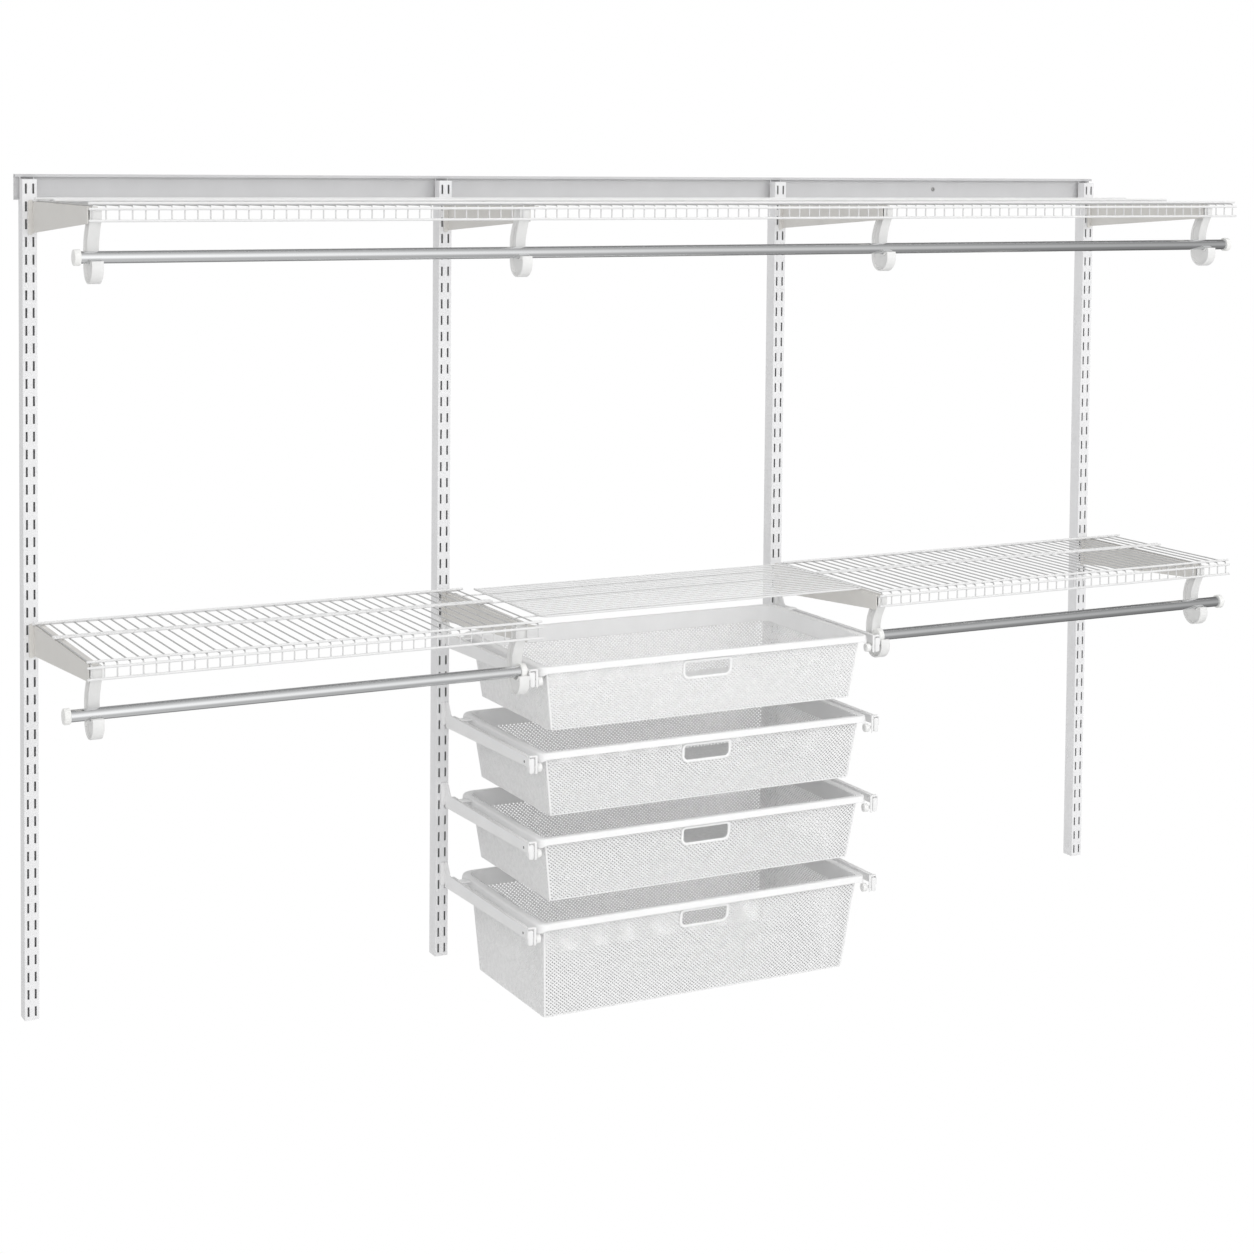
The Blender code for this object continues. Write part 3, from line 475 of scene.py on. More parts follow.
def hookOutline(top, cradle, inset):
    # (forward, up) from the rod's centre, with the whole outline drawn in by the inset
    radius = (hook["front"] + hook["rear"]) / 2
    forward = (hook["front"] - hook["rear"]) / 2
    up = radius - hook["bottom"]
    high = hook["bowHeight"] + radius / 2
    strapRear, topFront, steps = hook["strapRear"], hook["topFront"], hook["strapSteps"]
    shape = [(-strapRear + inset, top - inset), (topFront - inset, top - inset)]
    # the strap's front bows back to the cradle's rear
    for i in range(steps + 1):
        share = i / steps
        back = (topFront + cradle) * math.sin(share * math.pi / 2)
        shape.append((topFront - back - inset, high + (rod["radius"] - high) * share - inset * 0.5))
    # under the rod to the lip
    wide = cradle + inset
    for i in range(1, hook["cradleSteps"] + 1):
        angle = math.pi + (math.pi - math.asin(hook["lipDrop"] / cradle)) * i / hook["cradleSteps"]
        shape.append((wide * math.cos(angle), wide * math.sin(angle)))
    shape.append((hook["front"] - hook["tip"] - inset, -hook["lipDrop"] - inset * 0.6))
    # round the wheel's underside and up the strap's rear
    for i in range(hook["wheelSteps"] + 1):
        angle = -math.pi * i / hook["wheelSteps"]
        shape.append((forward + (radius - inset) * math.cos(angle), up + (radius - inset) * math.sin(angle)))
    start = hook["bottom"] * hook["strapStart"]
    for i in range(steps):
        share = i / steps
        back = (hook["rear"] + hook["rearSwell"] - strapRear) * math.cos(share * math.pi / 2)
        shape.append((-strapRear - back + inset, start + (high - start) * share))
    return shape


def mouldedHook(node):
    low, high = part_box(node)
    z = along("rod_upper" if "upper" in node else "rod_lower_left" if node[-1] in "12" else "rod_lower_right")[3]
    holdsCap = node in ("rod_hook_lower_2", "rod_hook_lower_3")
    cradle = (cap["radius"] if holdsCap else rod["radius"]) + hook["cradleGap"]
    middle = (low.x + high.x) / 2
    half = (high.x - low.x) / 2

    def at(x, inset):
        outline = hookOutline(high.z - z, cradle, inset)
        return [(x, -hook["rodForward"] - forward, z + up) for forward, up in outline]

    # recessed web inside a raised rim with a soft edge: (distance from the middle, inset)
    edge, rim = hook["edge"], hook["rim"]
    rings = ((half - hook["recess"], rim + hook["webRound"]), (half - hook["rimRound"], rim),
             (half, rim - hook["rimRound"]), (half, edge), (half - edge * 0.3, edge * 0.3), (half - edge, 0))
    loops = [at(middle - x, inset) for x, inset in rings] + [at(middle + x, inset) for x, inset in rings[::-1]]
    finishPiece(node + "Moulded", skinLoops(loops), "hook", "frame", [node], 40)


for level in ("upper", "lower"):
    for number in range(1, 5):
        mouldedHook(f"rod_hook_{level}_{number}")
print("hooks made")


# Drawers

bay = metres({
    "half": 381.0,  # from the middle of the centre bay to the middles of its standards
    "slotColumn": 6.6,  # everything hooks in the right slot columns, so the drawers sit off the middle
    "slotPitch": 32.0,
    "axleY": -411.5,
})
handle = metres({
    "width": 107.0, "height": 37.8, "border": 5.4, "thickness": 4.0, "proud": 1.8,
    "lowCorner": 14.0, "highCorner": 9.0, "leastCorner": 0.8, "edge": 1.1, "topGap": 3.0,
})
drawer = metres({
    "rimHalfWidth": 360.0, "rimFront": 418.0, "rimRear": 40.0,
    "skirt": 17.0, "frontSkirt": 12.0, "sideLedge": 16.5, "endLedge": 10.5,
    "frontCorner": 18.0, "rearCorner": 34.0, "basketFrontCorner": 7.0, "basketRearCorner": 26.0,
    # the rim's section: in from the outside and down from the top, or at the hem from the skirt's edge
    "ledge": ((0, 1.4), (0, 0.4), (1.0, 0)),
    "shoulder": ((4.0, 0.2), (2.6, 0.7), (1.3, 1.9), (0.7, 4.0), (0.5, 8.0), (0.1, 8.8), (0, 10.0)),
    "hem": ((0, -0.5), (0.5, 0), (1.8, 0), (2.2, -0.5)), "inside": ((2.4, 6.0), (4.2, 2.2)),
    # depth, and how far the walls draw in towards the floor
    "shallow": {"depth": 124.0, "sideTaper": 17.0, "frontTaper": 11.0},
    "deep": {"depth": 190.0, "sideTaper": 16.0, "frontTaper": 28.0},
    "rearTaper": 12.0, "floorGap": 2.0, "floorInset": 0.3, "meshTop": 1.2, "meshEnd": 1.1,
    "bandHeight": 32.0, "frontBand": 11.0, "bandTop": 0.4, "bandPlace": (2.2, 3.0),
    "runner": (52.0, 72.0), "runnerSheet": (0.2, 2.6),  # forward of the rear, below the top
    "hemHeight": 2.2, "seamRadius": 2.0, "seamIn": 2.2,
    # real cells are about 6 by 4 mm; drawn a little coarser so that they show
    "cellWidth": 8.4, "cellHeight": 7.2, "strand": 2.45, "strandDepth": 1.1,
}) | {"ledgeShares": (1.0, 1.0, 0.9)}  # of the way to the ledge's inner edge


def drawerShape(number):
    return drawer["deep" if number == 4 else "shallow"].values()


def buildStrandTree():
    # flat strands swept along their paths, turned to face the stored outward direction
    tree, given = newTree("meshStrands", {"Strand Width": "Float", "Strand Depth": "Float", "Material": "Material"})
    path = addNode(tree, "GeometryNodeMeshToCurve", links={"Mesh": given["Geometry"]})
    outward = addNode(tree, "GeometryNodeInputNamedAttribute", {"data_type": "FLOAT_VECTOR"}, {"Name": "outward"})
    turned = addNode(tree, "GeometryNodeSetCurveNormal", {"mode": "FREE"}, links={"Curve": path, "Normal": outward})
    section = addNode(tree, "GeometryNodeCurvePrimitiveQuadrilateral",
                      links={"Width": given["Strand Depth"], "Height": given["Strand Width"]})
    sweep = addNode(tree, "GeometryNodeCurveToMesh", values={"Fill Caps": True},
                    links={"Curve": turned, "Profile Curve": section})
    closeTree(tree, given, sweep)
    return tree


strandTree = buildStrandTree()


def growStrands(paths, material):
    # paths of (point, outward direction)
    host = pathHost(paths)
    outward = host.attributes.new("outward", "FLOAT_VECTOR", "POINT")
    outward.data.foreach_set("vector", [part for path in paths for point, way in path for part in way])
    return grown(host, strandTree, {
        "Strand Width": drawer["strand"], "Strand Depth": drawer["strandDepth"], "Material": materials[material]})


def strandLevel(family):
    # the two crossing families of strands lie one on the other
    return drawer["strandDepth"] * (0.55 + 0.7 * family)


def wallStrands(highLoop, lowLoop, run, vHigh, vLow, window):
    # slanting strands round the four walls: u runs round the loops and v down between them, and the
    # window (u low, u high, v low, v high) is left open
    highLoop, lowLoop = [Vector(p) for p in highLoop], [Vector(p) for p in lowLoop]
    count = len(highLoop)
    alongs = [highLoop[(i + 1) % count] - highLoop[i] for i in range(count)]
    sides = [along.length for along in alongs]
    starts = [sum(sides[:i]) for i in range(count)]
    around = sum(sides)
    outward = [(lowLoop[i] - highLoop[i]).cross(alongs[i]).normalized() for i in range(count)]
    number = round(around / drawer["cellWidth"])
    slope = (around / number) / drawer["cellHeight"]

    def spot(u, v, family):
        u %= around
        i = max(k for k in range(count) if starts[k] <= u)
        j = (i + 1) % count
        t = (u - starts[i]) / sides[i]
        way = outward[i] if t >= 1e-6 else (outward[i - 1] + outward[i]).normalized()
        point = highLoop[i].lerp(lowLoop[i], v / run).lerp(highLoop[j].lerp(lowLoop[j], v / run), t)
        return point - way * strandLevel(family), way

    paths = []
    for family, lean in ((0, 1), (1, -1)):
        for k in range(number):
            u0 = k * around / number
            spans = [(vHigh, vLow)]
            ends = sorted(vHigh + (edge - u0) / (lean * slope) for edge in window[:2])
            cutLow, cutHigh = max(ends[0], window[2]), min(ends[1], window[3])
            if cutLow < cutHigh:
                spans = [(vHigh, cutLow), (cutHigh, vLow)]
            for a, b in spans:
                if b - a < drawer["strand"]:
                    continue
                crossings = (vHigh + (start + lap - u0) / (lean * slope)
                             for lap in (-around, 0, around) for start in starts)
                stops = [a, b] + [v for v in crossings if a + 1e-5 < v < b - 1e-5]
                paths.append([spot(u0 + lean * slope * (v - vHigh), v, family) for v in sorted(stops)])
    return paths


def clippedLine(origin, way, corners):
    # where the line enters and leaves a convex outline that runs anticlockwise
    enter, leave = -1e9, 1e9
    for i in range(len(corners)):
        a, b = Vector(corners[i]), Vector(corners[(i + 1) % len(corners)])
        edge = b - a
        inward = Vector((-edge.y, edge.x))
        ahead = inward.dot(way)
        gap = inward.dot(origin - a)
        if abs(ahead) < 1e-12:
            if gap < 0:
                return 0, -1
            continue
        distance = -gap / ahead
        if ahead > 0:
            enter = max(enter, distance)
        else:
            leave = min(leave, distance)
    return enter, leave


def floorStrands(outline, z):
    # the same pattern laid flat inside the floor's outline
    flat = [(point[0], point[1]) for point in outline]
    left, right = min(x for x, y in flat), max(x for x, y in flat)
    front, rear = min(y for x, y in flat), max(y for x, y in flat)
    slope = drawer["cellHeight"] / drawer["cellWidth"]
    reach = (rear - front) / slope
    paths = []
    for family, lean in ((0, 1), (1, -1)):
        way = Vector((1, slope * lean)).normalized() * lean
        height = z + strandLevel(family)
        for i in range(int((right - left + reach) / drawer["cellWidth"]) + 2):
            origin = Vector((left - reach * (lean > 0) + i * drawer["cellWidth"], front))
            enter, leave = clippedLine(origin, way, flat)
            if leave - enter > drawer["strand"]:
                ends = [origin + way * enter, origin + way * leave]
                paths.append([((end.x, end.y, height), (0, 0, -1)) for end in ends])
    return paths


def meshDrawer(number):
    node = f"basket_{number}"
    body = f"drawer_{number}"
    low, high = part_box(node)
    depth, sideTaper, frontTaper = drawerShape(number)
    run = depth - drawer["floorGap"]
    top = high.z
    centre, halfWidth = bay["slotColumn"], drawer["rimHalfWidth"]
    xLow, xHigh = centre - halfWidth, centre + halfWidth
    yLow, yHigh = -drawer["rimFront"], -drawer["rimRear"]
    side, end = drawer["sideLedge"], drawer["endLedge"]

    # rim: a flat ledge with a rounded shoulder and a skirt, swept round the corners
    def rimLoop(inset, drop, ledge=0.0):
        # the inset is from the outside; the ledge share blends to the ledge's inner edge
        sideIn, endIn = inset + (side - inset) * ledge, inset + (end - inset) * ledge
        front = drawer["frontCorner"] + (drawer["basketFrontCorner"] - drawer["frontCorner"]) * ledge
        rear = drawer["rearCorner"] + (drawer["basketRearCorner"] - drawer["rearCorner"]) * ledge
        return roundedLoop(xLow + sideIn, xHigh - sideIn, yLow + endIn, yHigh - endIn,
                           front - inset * (1 - ledge), rear - inset * (1 - ledge), top - drop)

    def hemLoop(inset, below):
        # the skirt's lower edge rises along the front, between the rollers
        loop = rimLoop(inset, drawer["skirt"] + below)
        steps = len(loop) // 4
        rise = drawer["skirt"] - drawer["frontSkirt"]
        result = []
        for i, (x, y, z) in enumerate(loop):
            quarter, place = divmod(i, steps)
            share = place / (steps - 1)
            turned = {2: share, 3: 1 - share}.get(quarter, 0)
            result.append((x, y, z + rise * max(0, (turned - 0.55) / 0.45)))
        return result

    profile = [rimLoop(*place, share) for place, share in zip(drawer["ledge"], drawer["ledgeShares"])]
    profile += [rimLoop(*place) for place in drawer["shoulder"]] + [hemLoop(*place) for place in drawer["hem"]]
    profile += [rimLoop(*place) for place in drawer["inside"]]
    rim = skinLoops(profile, ring=True)

    # solid band inside the mesh's upper edge
    def wallLoop(drop, inset):
        share = drop / run
        return roundedLoop(
            xLow + side + sideTaper * share + inset, xHigh - side - sideTaper * share - inset,
            yLow + end + frontTaper * share + inset, yHigh - end - drawer["rearTaper"] * share - inset,
            drawer["basketFrontCorner"], drawer["basketRearCorner"], top - drop)

    def bandEdge(inset):
        # deep at the rear and along the sides, hidden behind the rim's skirt at the front
        deepEdge, shallowEdge = wallLoop(drawer["bandHeight"], inset), wallLoop(drawer["frontBand"], inset)
        quarter = len(deepEdge) // 4
        return deepEdge[:quarter * 2 + 4] + shallowEdge[quarter * 2 + 4:quarter * 4 - 4] + deepEdge[quarter * 4 - 4:]

    bandTop, (bandOuter, bandInner) = drawer["bandTop"], drawer["bandPlace"]
    bandLoops = [wallLoop(bandTop, bandOuter), bandEdge(bandOuter), bandEdge(bandInner), wallLoop(bandTop, bandInner)]
    band = skinLoops(bandLoops, ring=True)
    runners = []
    (runnerRear, runnerFront), (runnerTop, runnerUnder) = drawer["runner"], drawer["runnerSheet"]
    for sign in (-1, 1):
        inner = centre + sign * (halfWidth - 1.0 * mm)
        runners.append(boxMesh((inner, yHigh - runnerFront, top - runnerUnder),
                               (high.x if sign > 0 else low.x, yHigh - runnerRear, top - runnerTop), 0.5 * mm))
    finishPiece(f"basketRim_{number}", joinMeshes([rim, band] + runners), "rim", body, [node], 32)

    # expanded mesh: four walls and the floor, open inside the handle's frame
    highLoop, lowLoop = wallLoop(0, 0), wallLoop(run, 0)
    frontEnd = len(highLoop) // 4 * 3  # the front's straight run ends at this point of the loop
    lengths = [(Vector(highLoop[i + 1]) - Vector(highLoop[i])).length for i in range(frontEnd)]
    middle = sum(lengths[:-1]) + lengths[-1] / 2
    halfOpen = handle["width"] / 2 - handle["border"] / 2
    firstOpen = drawer["frontSkirt"] + handle["topGap"] + handle["border"] / 2
    window = (middle - halfOpen, middle + halfOpen, firstOpen, firstOpen + handle["height"] - handle["border"])
    paths = wallStrands(highLoop, lowLoop, run, drawer["meshTop"], depth - drawer["meshEnd"], window)
    paths += floorStrands(wallLoop(depth, drawer["floorInset"]), top - depth)
    finishPiece(f"basketMesh_{number}", growStrands(paths, "mesh"), "mesh", body, [node], 60)

    # hem wire along the bottom edge and the seams up the front corners
    hemRadius, seamIn = drawer["hemHeight"] / 2, drawer["seamIn"]
    hem = [(point, hemRadius) for point in wallLoop(depth - hemRadius - 0.1 * mm, hemRadius)]
    seams = [growWires([hem + hem[:1]], "rim", sides=8)]
    for sign in (-1, 1):
        seam = []
        for drop in (4.0 * mm, depth - 2.0 * mm):
            x = centre + sign * (halfWidth - side - sideTaper * drop / run - seamIn)
            seam.append(((x, yLow + end + frontTaper * drop / run + seamIn, top - drop), drawer["seamRadius"]))
        seams.append(growWires([seam], "rim", sides=10))
    finishPiece(f"basketSeams_{number}", joinMeshes(seams), "rim", body, [node], 50)


for number in range(1, 5):
    meshDrawer(number)
print("drawers made")


# Handles

def handleFrame(number):
    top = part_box(f"basket_{number}")[1].z
    depth, sideTaper, frontTaper = drawerShape(number)
    run = depth - drawer["floorGap"]
    tilt = math.atan2(frontTaper, run)
    centreZ = top - drawer["frontSkirt"] - handle["topGap"] - handle["height"] / 2
    lean = frontTaper * (top - drawer["floorGap"] - centreZ) / run
    centreY = -drawer["rimFront"] + drawer["endLedge"] + lean

    def frameLoop(inset, back):
        halfWidth, halfHeight = handle["width"] / 2 - inset, handle["height"] / 2 - inset
        corners = [max(handle[key] - inset, handle["leastCorner"]) for key in ("lowCorner", "highCorner")]
        y = back - handle["proud"]
        return [(bay["slotColumn"] + x, centreY + y * math.cos(tilt) - z * math.sin(tilt),
                 centreZ + y * math.sin(tilt) + z * math.cos(tilt))
                for x, z, flat in roundedLoop(-halfWidth, halfWidth, -halfHeight, halfHeight, *corners)]

    e, b, t = handle["edge"], handle["border"], handle["thickness"]
    face = [(0, e), (e * 0.3, e * 0.3), (e, 0), (b - e, 0), (b - e * 0.3, e * 0.3), (b, e)]
    rings = face + [(inset, t - back) for inset, back in face[::-1]]
    loops = [frameLoop(inset, back) for inset, back in rings]
    finishPiece(f"handleFrame_{number}", skinLoops(loops, ring=True), "handle",
                f"drawer_{number}", [f"handle_{number}"], 50)


for number in range(1, 5):
    handleFrame(number)
print("handles made")


# Drawer arms with their front stops, and the rollers

arm = metres({
    "plate": 2.0, "plateEdge": 0.25, "rise": 12.5, "topDrop": 10.0, "rearDrop": 38.0,
    "shoulderStep": 10.0, "shoulder": 30.0, "front": 421.0, "frontHeight": 18.0,
    "nose": 1.5, "chin": 3.0, "flange": 6.0, "flangeSheet": 1.6, "flangeEnd": 12.0,
    "footReach": 10.0, "footHeight": 46.0, "footSheet": 1.8,
    "blockStart": 0.6, "blockWidth": 9.4, "blockDepth": 12.0, "blockCorner": 3.6,
    "blockTop": 12.5, "blockBottom": 40.0,
    "stopInset": 10.8, "stopWidth": 5.5, "stopMargin": 0.5, "stopSheet": 1.8,
    "stopHeight": 34.0, "stopCorner": 1.6,
    "archSheet": 3.2, "archDepth": (0.2, 6.0), "archCorner": 1.3,
    "rimDrop": 7.0, "rearY": -30.8, "holeBack": 20.0, "holeRadius": 2.6,
    "toothHalf": 6.5, "toothHook": 8.9, "toothSheet": 1.6, "toothRoot": 2.0,
    "toothRear": -28.1, "toothEdge": 0.15,
    "axle": ((0.0, 2.3), (0.4, 2.8)),  # way in from each end, radius
})
roller = metres({
    "bore": 3.1, "radius": 8.0,
    # half of the section: in from the side, and beyond the bore or inside the radius
    "hub": ((0, 0), (0, 1.2), (0.5, 1.6)),
    "tread": ((0.5, 2.0), (0, 1.5), (0.3, 0.4), (1.0, 0)),
})


def sideways(outline, xLow, xHigh, edge):
    # plate with the (y, z) outline across X, its rim taken off by a small edge
    work = bmesh.new()
    base = work.faces.new([work.verts.new((xLow, y, z)) for y, z in outline])
    made = bmesh.ops.extrude_face_region(work, geom=[base])
    for item in made["geom"]:
        if isinstance(item, bmesh.types.BMVert):
            item.co.x = xHigh
    bmesh.ops.recalc_face_normals(work, faces=work.faces)
    rim = [e for e in work.edges if abs(e.verts[0].co.x - e.verts[1].co.x) < 1e-7]
    bmesh.ops.bevel(work, geom=rim, offset=edge, segments=1, affect="EDGES", profile=0.5)
    return toMesh(work)


def roundedBar(ends, zLow, zHigh, yFront, yBack, radius):
    # upright bar with rounded corners seen from the front, and soft front and back edges
    xLow, xHigh = sorted(ends)
    soft = min(0.5 * mm, (yBack - yFront) * 0.3)
    loops = []
    for inset, y in ((soft, yFront), (soft * 0.3, yFront + soft * 0.3), (0, yFront + soft),
                     (0, yBack - soft), (soft * 0.3, yBack - soft * 0.3), (soft, yBack)):
        r = max(radius - inset, 0.1 * mm)
        outline = roundedLoop(xLow + inset, xHigh - inset, zLow + inset, zHigh - inset, r, r, steps=5)
        loops.append([(x, y, z) for x, z, flat in outline])
    return skinLoops(loops)


def drawerArm(sideName, number):
    inward = 1 if sideName == "left" else -1
    slot = bay["slotColumn"] - inward * bay["half"]
    outer = slot - inward * arm["plate"] / 2
    inner = outer + inward * arm["plate"]
    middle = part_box(f"basket_{number}")[1].z + arm["rimDrop"]  # of the slot row that the arm hooks in
    top = middle - arm["topDrop"]
    rear, front, shoulderZ = arm["rearY"], -arm["front"], middle + arm["rise"]

    # plate: a high rear shoulder that falls in a curve to the long tapered arm
    outline = [(rear, shoulderZ), (rear - arm["shoulderStep"], shoulderZ)]
    for i in range(1, 8):
        share = i / 8
        outline.append((rear - arm["shoulderStep"] - (arm["shoulder"] - arm["shoulderStep"]) * share,
                        shoulderZ + (top - shoulderZ) * (share * share * (3 - 2 * share))))
    chinZ = top - arm["frontHeight"]
    outline += [(rear - arm["shoulder"], top), (front + arm["nose"], top), (front, top - arm["nose"]),
                (front, chinZ + arm["chin"]), (front + arm["chin"], chinZ - 0.2 * mm),
                (rear, middle - arm["rearDrop"])]
    xs = sorted((outer, inner))
    parts = [sideways(outline, *xs, arm["plateEdge"])]

    # two teeth that hook down behind the slots
    half, hooked, back = arm["toothHalf"], arm["toothHook"], arm["toothRear"]
    for z in (middle, middle - bay["slotPitch"]):
        root, tip = rear - arm["toothRoot"], back + arm["toothSheet"]
        tooth = [(root, z + half), (tip, z + half), (tip, z - hooked), (back, z - hooked), (back, z - half),
                 (root, z - half)]
        parts.append(sideways(tooth, *xs, arm["toothEdge"]))

    # flange along the top, foot against the standard, block at the front
    blockEnds = slot + inward * arm["blockStart"], inner + inward * arm["blockWidth"]
    parts += [
        boxMesh((slot, front + arm["flangeEnd"], top - arm["flangeSheet"]),
                (inner + inward * arm["flange"], rear - arm["shoulder"], top), 0.5 * mm),
        roundedBar((slot - arm["footReach"], slot), shoulderZ - arm["footHeight"], shoulderZ,
                   rear - arm["footSheet"], rear, arm["footReach"] / 2 - 0.01 * mm),
        roundedBar(blockEnds, middle - arm["blockBottom"], middle - arm["blockTop"], front,
                   front + arm["blockDepth"], arm["blockCorner"])]

    # stop: a strip in front of the rim whose top is bent back over the block
    stopStart = inner + inward * arm["stopInset"]
    stopTop = middle - arm["rimDrop"]
    stripEnds = [stopStart + inward * x for x in (arm["stopMargin"], arm["stopWidth"] - arm["stopMargin"])]
    archEnds = slot + inward * 0.2 * mm, stopStart + inward * arm["stopWidth"] / 2
    archFront, archRear = arm["archDepth"]
    parts += [
        roundedBar(stripEnds, stopTop - arm["stopHeight"], stopTop - 0.2 * mm, front,
                   front + arm["stopSheet"], arm["stopCorner"]),
        roundedBar(archEnds, stopTop - arm["archSheet"], stopTop, front + archFront, front + archRear,
                   arm["archCorner"])]

    # axle of the roller
    left, right, y, z = along(f"roller_{sideName}_{number}")
    a, b = sorted((slot, right if inward > 0 else left))
    profile = [(a + wayIn, r) for wayIn, r in arm["axle"]] + [(b - wayIn, r) for wayIn, r in arm["axle"][::-1]]
    parts.append(turnedAlongX(profile, bay["axleY"], z, 24))
    finishPiece(f"drawerArm_{sideName}_{number}", joinMeshes(parts), "arm", "frame",
                [f"arm_{sideName}_{number}"])

    # a dark disc on the plate's outer face: painted shade standing in for the bore of the block's fixing hole
    profile = [(outer - inward * 0.05 * mm, arm["holeRadius"]), (outer + inward * 0.3 * mm, arm["holeRadius"])]
    disc = turnedAlongX(profile, front + arm["holeBack"], top - arm["frontHeight"] * 0.62, 24)
    finishPiece(f"armHole_{sideName}_{number}", disc, "holeShade", "frame")


def turnedRoller(sideName, number):
    node = f"roller_{sideName}_{number}"
    left, right, y, z = along(node)
    half = [(x, roller["bore"] + r) for x, r in roller["hub"]]
    half += [(x, roller["radius"] - r) for x, r in roller["tread"]]
    rings = [(left + x, r) for x, r in half] + [(right - x, r) for x, r in half[::-1]]
    wheel = turnedAlongX(rings, bay["axleY"], z, 40, ring=True)
    finishPiece(f"rollerTurned_{sideName}_{number}", wheel, "roller", node, [node], 40)


for number in range(1, 5):
    for sideName in ("left", "right"):
        drawerArm(sideName, number)
        turnedRoller(sideName, number)
print("arms and rollers made")


# Painted shade strips behind the standards' slots, and the track's screw

holeShade = metres({"halfWidth": 10.9, "front": -25.3, "rear": -24.6, "lowMargin": 1.0, "top": 13.4})
screw = metres({
    "radius": 4.4, "rise": 2.4, "slotHalf": 2.4, "slotWidth": 0.8, "face": -2.0,
    "first": (785.75, -1.0), "step": 404.75,
}) | {
    "count": 1, "sides": 32,
    "dome": ((0, 1.0), (0.35, 0.98), (0.65, 0.86), (0.85, 0.68), (0.95, 0.5)),  # shares of rise and radius
    "recess": (1.0, 0.4),  # the cross's rim and floor, as shares of the rise
}

for number in range(1, 5):
    low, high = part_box(f"standard_{number}")
    x = (low.x + high.x) / 2
    # a dark strip inside each channel: painted shade behind the slots
    strip = boxMesh((x - holeShade["halfWidth"], holeShade["front"], low.z + holeShade["lowMargin"]),
                    (x + holeShade["halfWidth"], holeShade["rear"], holeShade["top"]))
    finishPiece(f"standardSlotShade_{number}", strip, "holeShade", "frame")


def crossReach(turn):
    # distance from the middle to the edge of a cross recess in the direction of the turn
    a, b = screw["slotHalf"], screw["slotWidth"] / 2
    c, s = max(abs(math.cos(turn)), 1e-6), max(abs(math.sin(turn)), 1e-6)
    return min(max(min(a / c, b / s), min(a / s, b / c)), a)


def trackScrews():
    # pan heads about Y with a cross recess, copied along the track
    x, z = screw["first"]
    turns = [math.tau * i / screw["sides"] for i in range(screw["sides"])]
    rings = [(share, [screw["radius"] * r] * len(turns)) for share, r in screw["dome"]]
    rings += [(share, [crossReach(turn) for turn in turns]) for share in screw["recess"]]
    loops = [[(x + reach * math.cos(turn), screw["face"] - screw["rise"] * share, z + reach * math.sin(turn))
              for turn, reach in zip(turns, reaches)] for share, reaches in rings]
    tree, given = newTree("panHeadScrews", {"Count": "Int", "Step": "Vector", "Material": "Material"})
    closeTree(tree, given, repeated(tree, given, given["Geometry"]))
    heads = grown(skinLoops(loops), tree, {
        "Count": screw["count"], "Step": (screw["step"], 0, 0), "Material": materials["screw"]})
    finishPiece("trackScrew", heads, "screw", "frame", sharpAngle=30)


trackScrews()
print("backing strips and track screw made")


# Nodes that keep their CAD shape and get their finishes

def refinish(node, material):
    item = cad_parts[node]
    item.data.materials.clear()
    item.data.materials.append(materials[material])


for number in range(1, 5):
    refinish(f"standard_{number}", "standard")
    refinish(f"bracket_upper_{number}", "bracket")
    refinish(f"bracket_lower_{number}", "bracket")
refinish("top_track", "track")
print("plain nodes refinished")


# Floor, light and camera

studio = {
    "floorDrop": 2.13,  # the track hangs about this high above the floor
    "floorHalf": 30.0, "floorColour": "#f4f4f4",
    # values that follow the direction looked in: its axis, from, to, value at the start and at the end
    "ranges": {
        "roomLight": ("Y", -1.0, 1.0, 0.94, 0.60),  # soft room light in front of the wall and behind its plane
        "height": ("Z", -1.0, 1.0, 0.0, 1.0),
        "behind": ("Y", -0.1, 0.5, 1.0, 0.42),  # polished metal sees less light behind the wall's plane
        "aside": ("X", 0.25, 0.65, 1.3, 0.494),  # and far to the right, where the room is darker
    },
    # what polished metal sees from the floor's direction (0) up to the ceiling's (1): height and brightness
    "bands": ((0.0, 0.54), (0.07, 0.52), (0.11, 0.50), (0.21, 0.56), (0.33, 0.78), (0.42, 0.98), (0.56, 1.0),
              (0.66, 0.96), (0.79, 0.76), (0.89, 0.60), (0.93, 0.52), (1.0, 0.36)),
    # place, what it looks at, width, height and strength in watts
    "softboxes": {
        "keySoftbox": ((2.6, -4.2, 1.2), (0, 0, -0.8), 2.4, 2.4, 44.0),
        "fillSoftbox": ((-1.8, -4.7, 0.3), (0, 0, -0.8), 2.0, 2.0, 24.0),
        "topSoftbox": ((0, -0.6, 2.6), (0, 0, -0.5), 3.2, 1.2, 18.0),
    },
}

floorMesh = bpy.data.meshes.new("floor")
h = studio["floorHalf"]
floorMesh.from_pydata([(-h, -h, 0), (h, -h, 0), (h, h, 0), (-h, h, 0)], [], [(0, 1, 2, 3)])
floor = placed("floor", floorMesh)
floor.location = (0, 0, -studio["floorDrop"])
floorPaint = bpy.data.materials.new("paleFloor")
floorPaint.use_nodes = True
tree = floorPaint.node_tree
tree.nodes.clear()
diffuse = addNode(tree, "ShaderNodeBsdfDiffuse", values={"Color": srgb(studio["floorColour"])})
glow = addNode(tree, "ShaderNodeEmission", values={"Color": (1, 1, 1, 1), "Strength": 1.0})
rays = addNode(tree, "ShaderNodeLightPath")
mix = addNode(tree, "ShaderNodeMixShader", links={0: rays.outputs["Is Camera Ray"], 1: diffuse, 2: glow})
addNode(tree, "ShaderNodeOutputMaterial", links={"Surface": mix})
floorMesh.materials.append(floorPaint)
floor.visible_glossy = False

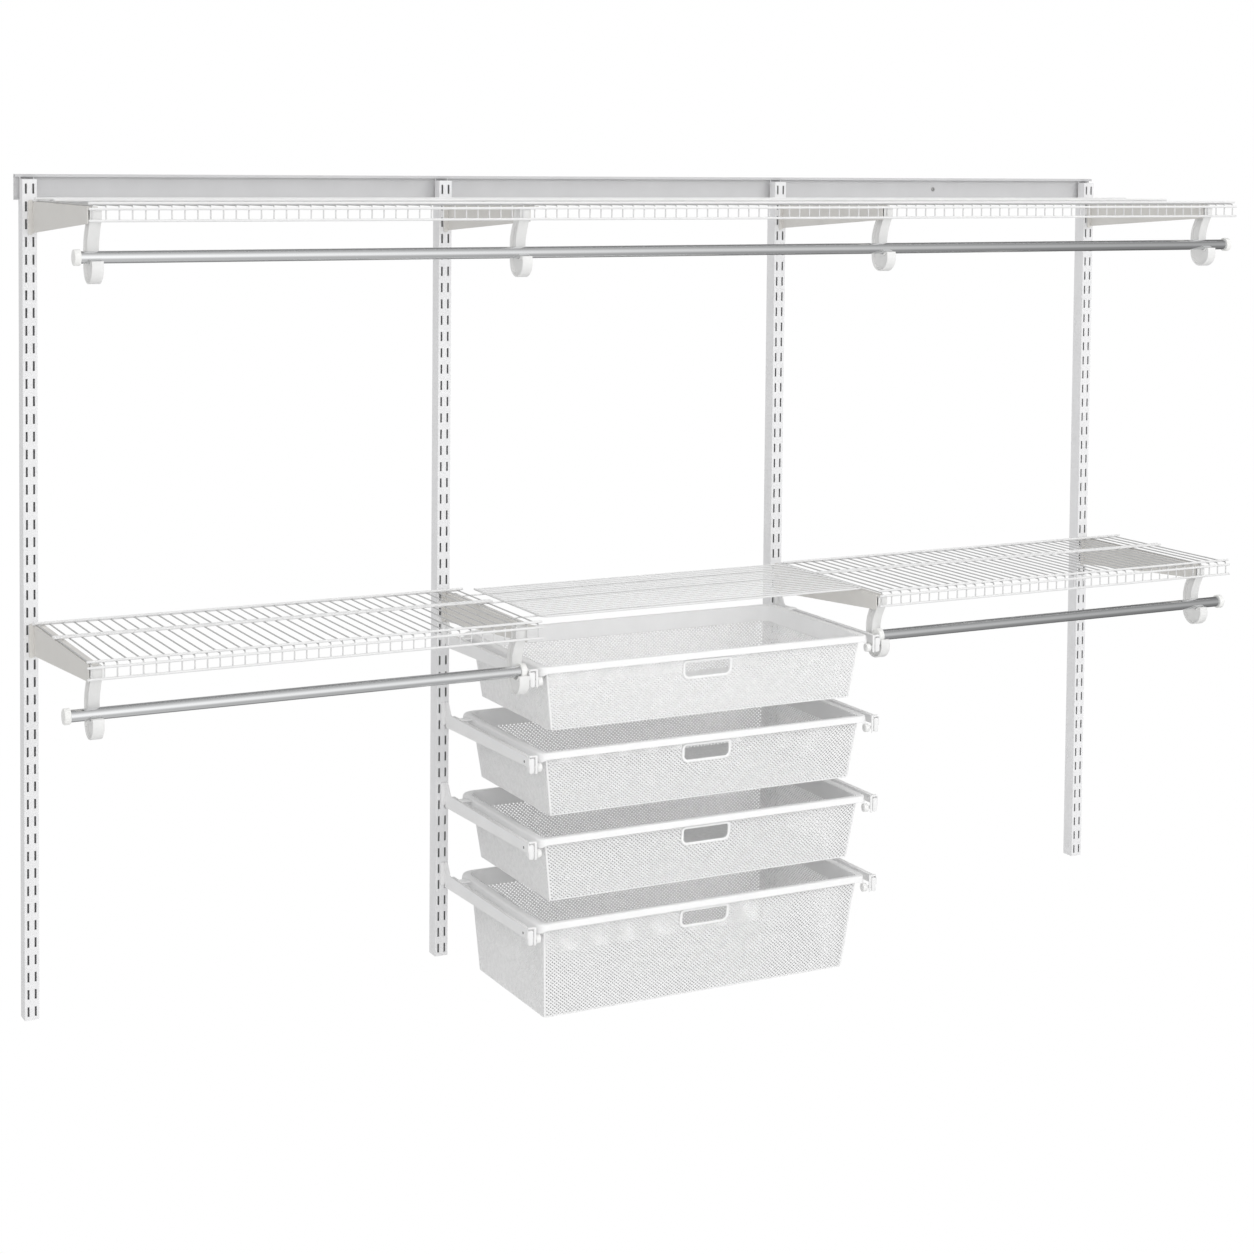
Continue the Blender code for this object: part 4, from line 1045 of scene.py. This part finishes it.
# the world: white to the camera, soft room light to rough surfaces and grey bands to polished metal
world = bpy.data.worlds.new("studio")
bpy.context.scene.world = world
world.use_nodes = True
tree = world.node_tree
tree.nodes.clear()
rays = addNode(tree, "ShaderNodeLightPath")
white = addNode(tree, "ShaderNodeBackground", values={"Color": (1, 1, 1, 1), "Strength": 1.0})
facing = addNode(tree, "ShaderNodeTexCoord")
toward = addNode(tree, "ShaderNodeSeparateXYZ", links={"Vector": facing.outputs["Generated"]})
ranges = {}
for name, (axis, *values) in studio["ranges"].items():
    labels = ("From Min", "From Max", "To Min", "To Max")
    ranges[name] = addNode(tree, "ShaderNodeMapRange", values=dict(zip(labels, values)),
                           links={"Value": toward.outputs[axis]})
soft = addNode(tree, "ShaderNodeBackground", values={"Color": (1, 1, 1, 1)}, links={"Strength": ranges["roomLight"]})
bands = addNode(tree, "ShaderNodeValToRGB", links={"Fac": ranges["height"]})
for place, value in studio["bands"][1:-1]:
    bands.color_ramp.elements.new(place)
for element, (place, value) in zip(bands.color_ramp.elements, studio["bands"]):
    element.position = place
    element.color = (value, value, value, 1.0)
share = addNode(tree, "ShaderNodeMath", {"operation": "MULTIPLY"}, links={0: ranges["behind"], 1: ranges["aside"]})
banded = addNode(tree, "ShaderNodeBackground", links={"Color": bands, "Strength": share})
metal = addNode(tree, "ShaderNodeMixShader", links={0: rays.outputs["Is Glossy Ray"], 1: soft, 2: banded})
mix = addNode(tree, "ShaderNodeMixShader", links={0: rays.outputs["Is Camera Ray"], 1: metal, 2: white})
addNode(tree, "ShaderNodeOutputWorld", links={"Surface": mix})

for name, (place, target, width, height, strength) in studio["softboxes"].items():
    light = bpy.data.lights.new(name, "AREA")
    light.shape = "RECTANGLE"
    light.size, light.size_y = width, height
    light.energy = strength
    lamp = placed(name, light)
    lamp.location = place
    lamp.rotation_euler = (Vector(target) - Vector(place)).to_track_quat("-Z", "Y").to_euler()
    lamp.visible_glossy = False  # polished metal sees the world's soft bands instead

photoCamera = {
    "place": (-2.2223, -4.3601, 0.0694),
    "yaw": 0.4812, "down": 0.0506, "roll": 0.0096,  # radians; the yaw looks to the right
    "lens": 68.93, "sensor": 36.0, "shiftX": -0.0065, "shiftY": -0.28, "clipEnd": 100.0,
}
yaw, down, roll = photoCamera["yaw"], photoCamera["down"], photoCamera["roll"]
turning = Matrix.Rotation(-yaw, 4, "Z") @ Matrix.Rotation(math.pi / 2 - down, 4, "X") @ Matrix.Rotation(roll, 4, "Z")
cameraData = bpy.data.cameras.new("photoCamera")
cameraData.lens, cameraData.sensor_width = photoCamera["lens"], photoCamera["sensor"]
cameraData.shift_x, cameraData.shift_y = photoCamera["shiftX"], photoCamera["shiftY"]
cameraData.clip_end = photoCamera["clipEnd"]
camera = placed("photoCamera", cameraData)
camera.matrix_world = Matrix.Translation(photoCamera["place"]) @ turning
bpy.context.scene.camera = camera
bpy.context.scene.view_settings.view_transform = "Standard"
print("camera and lights placed")
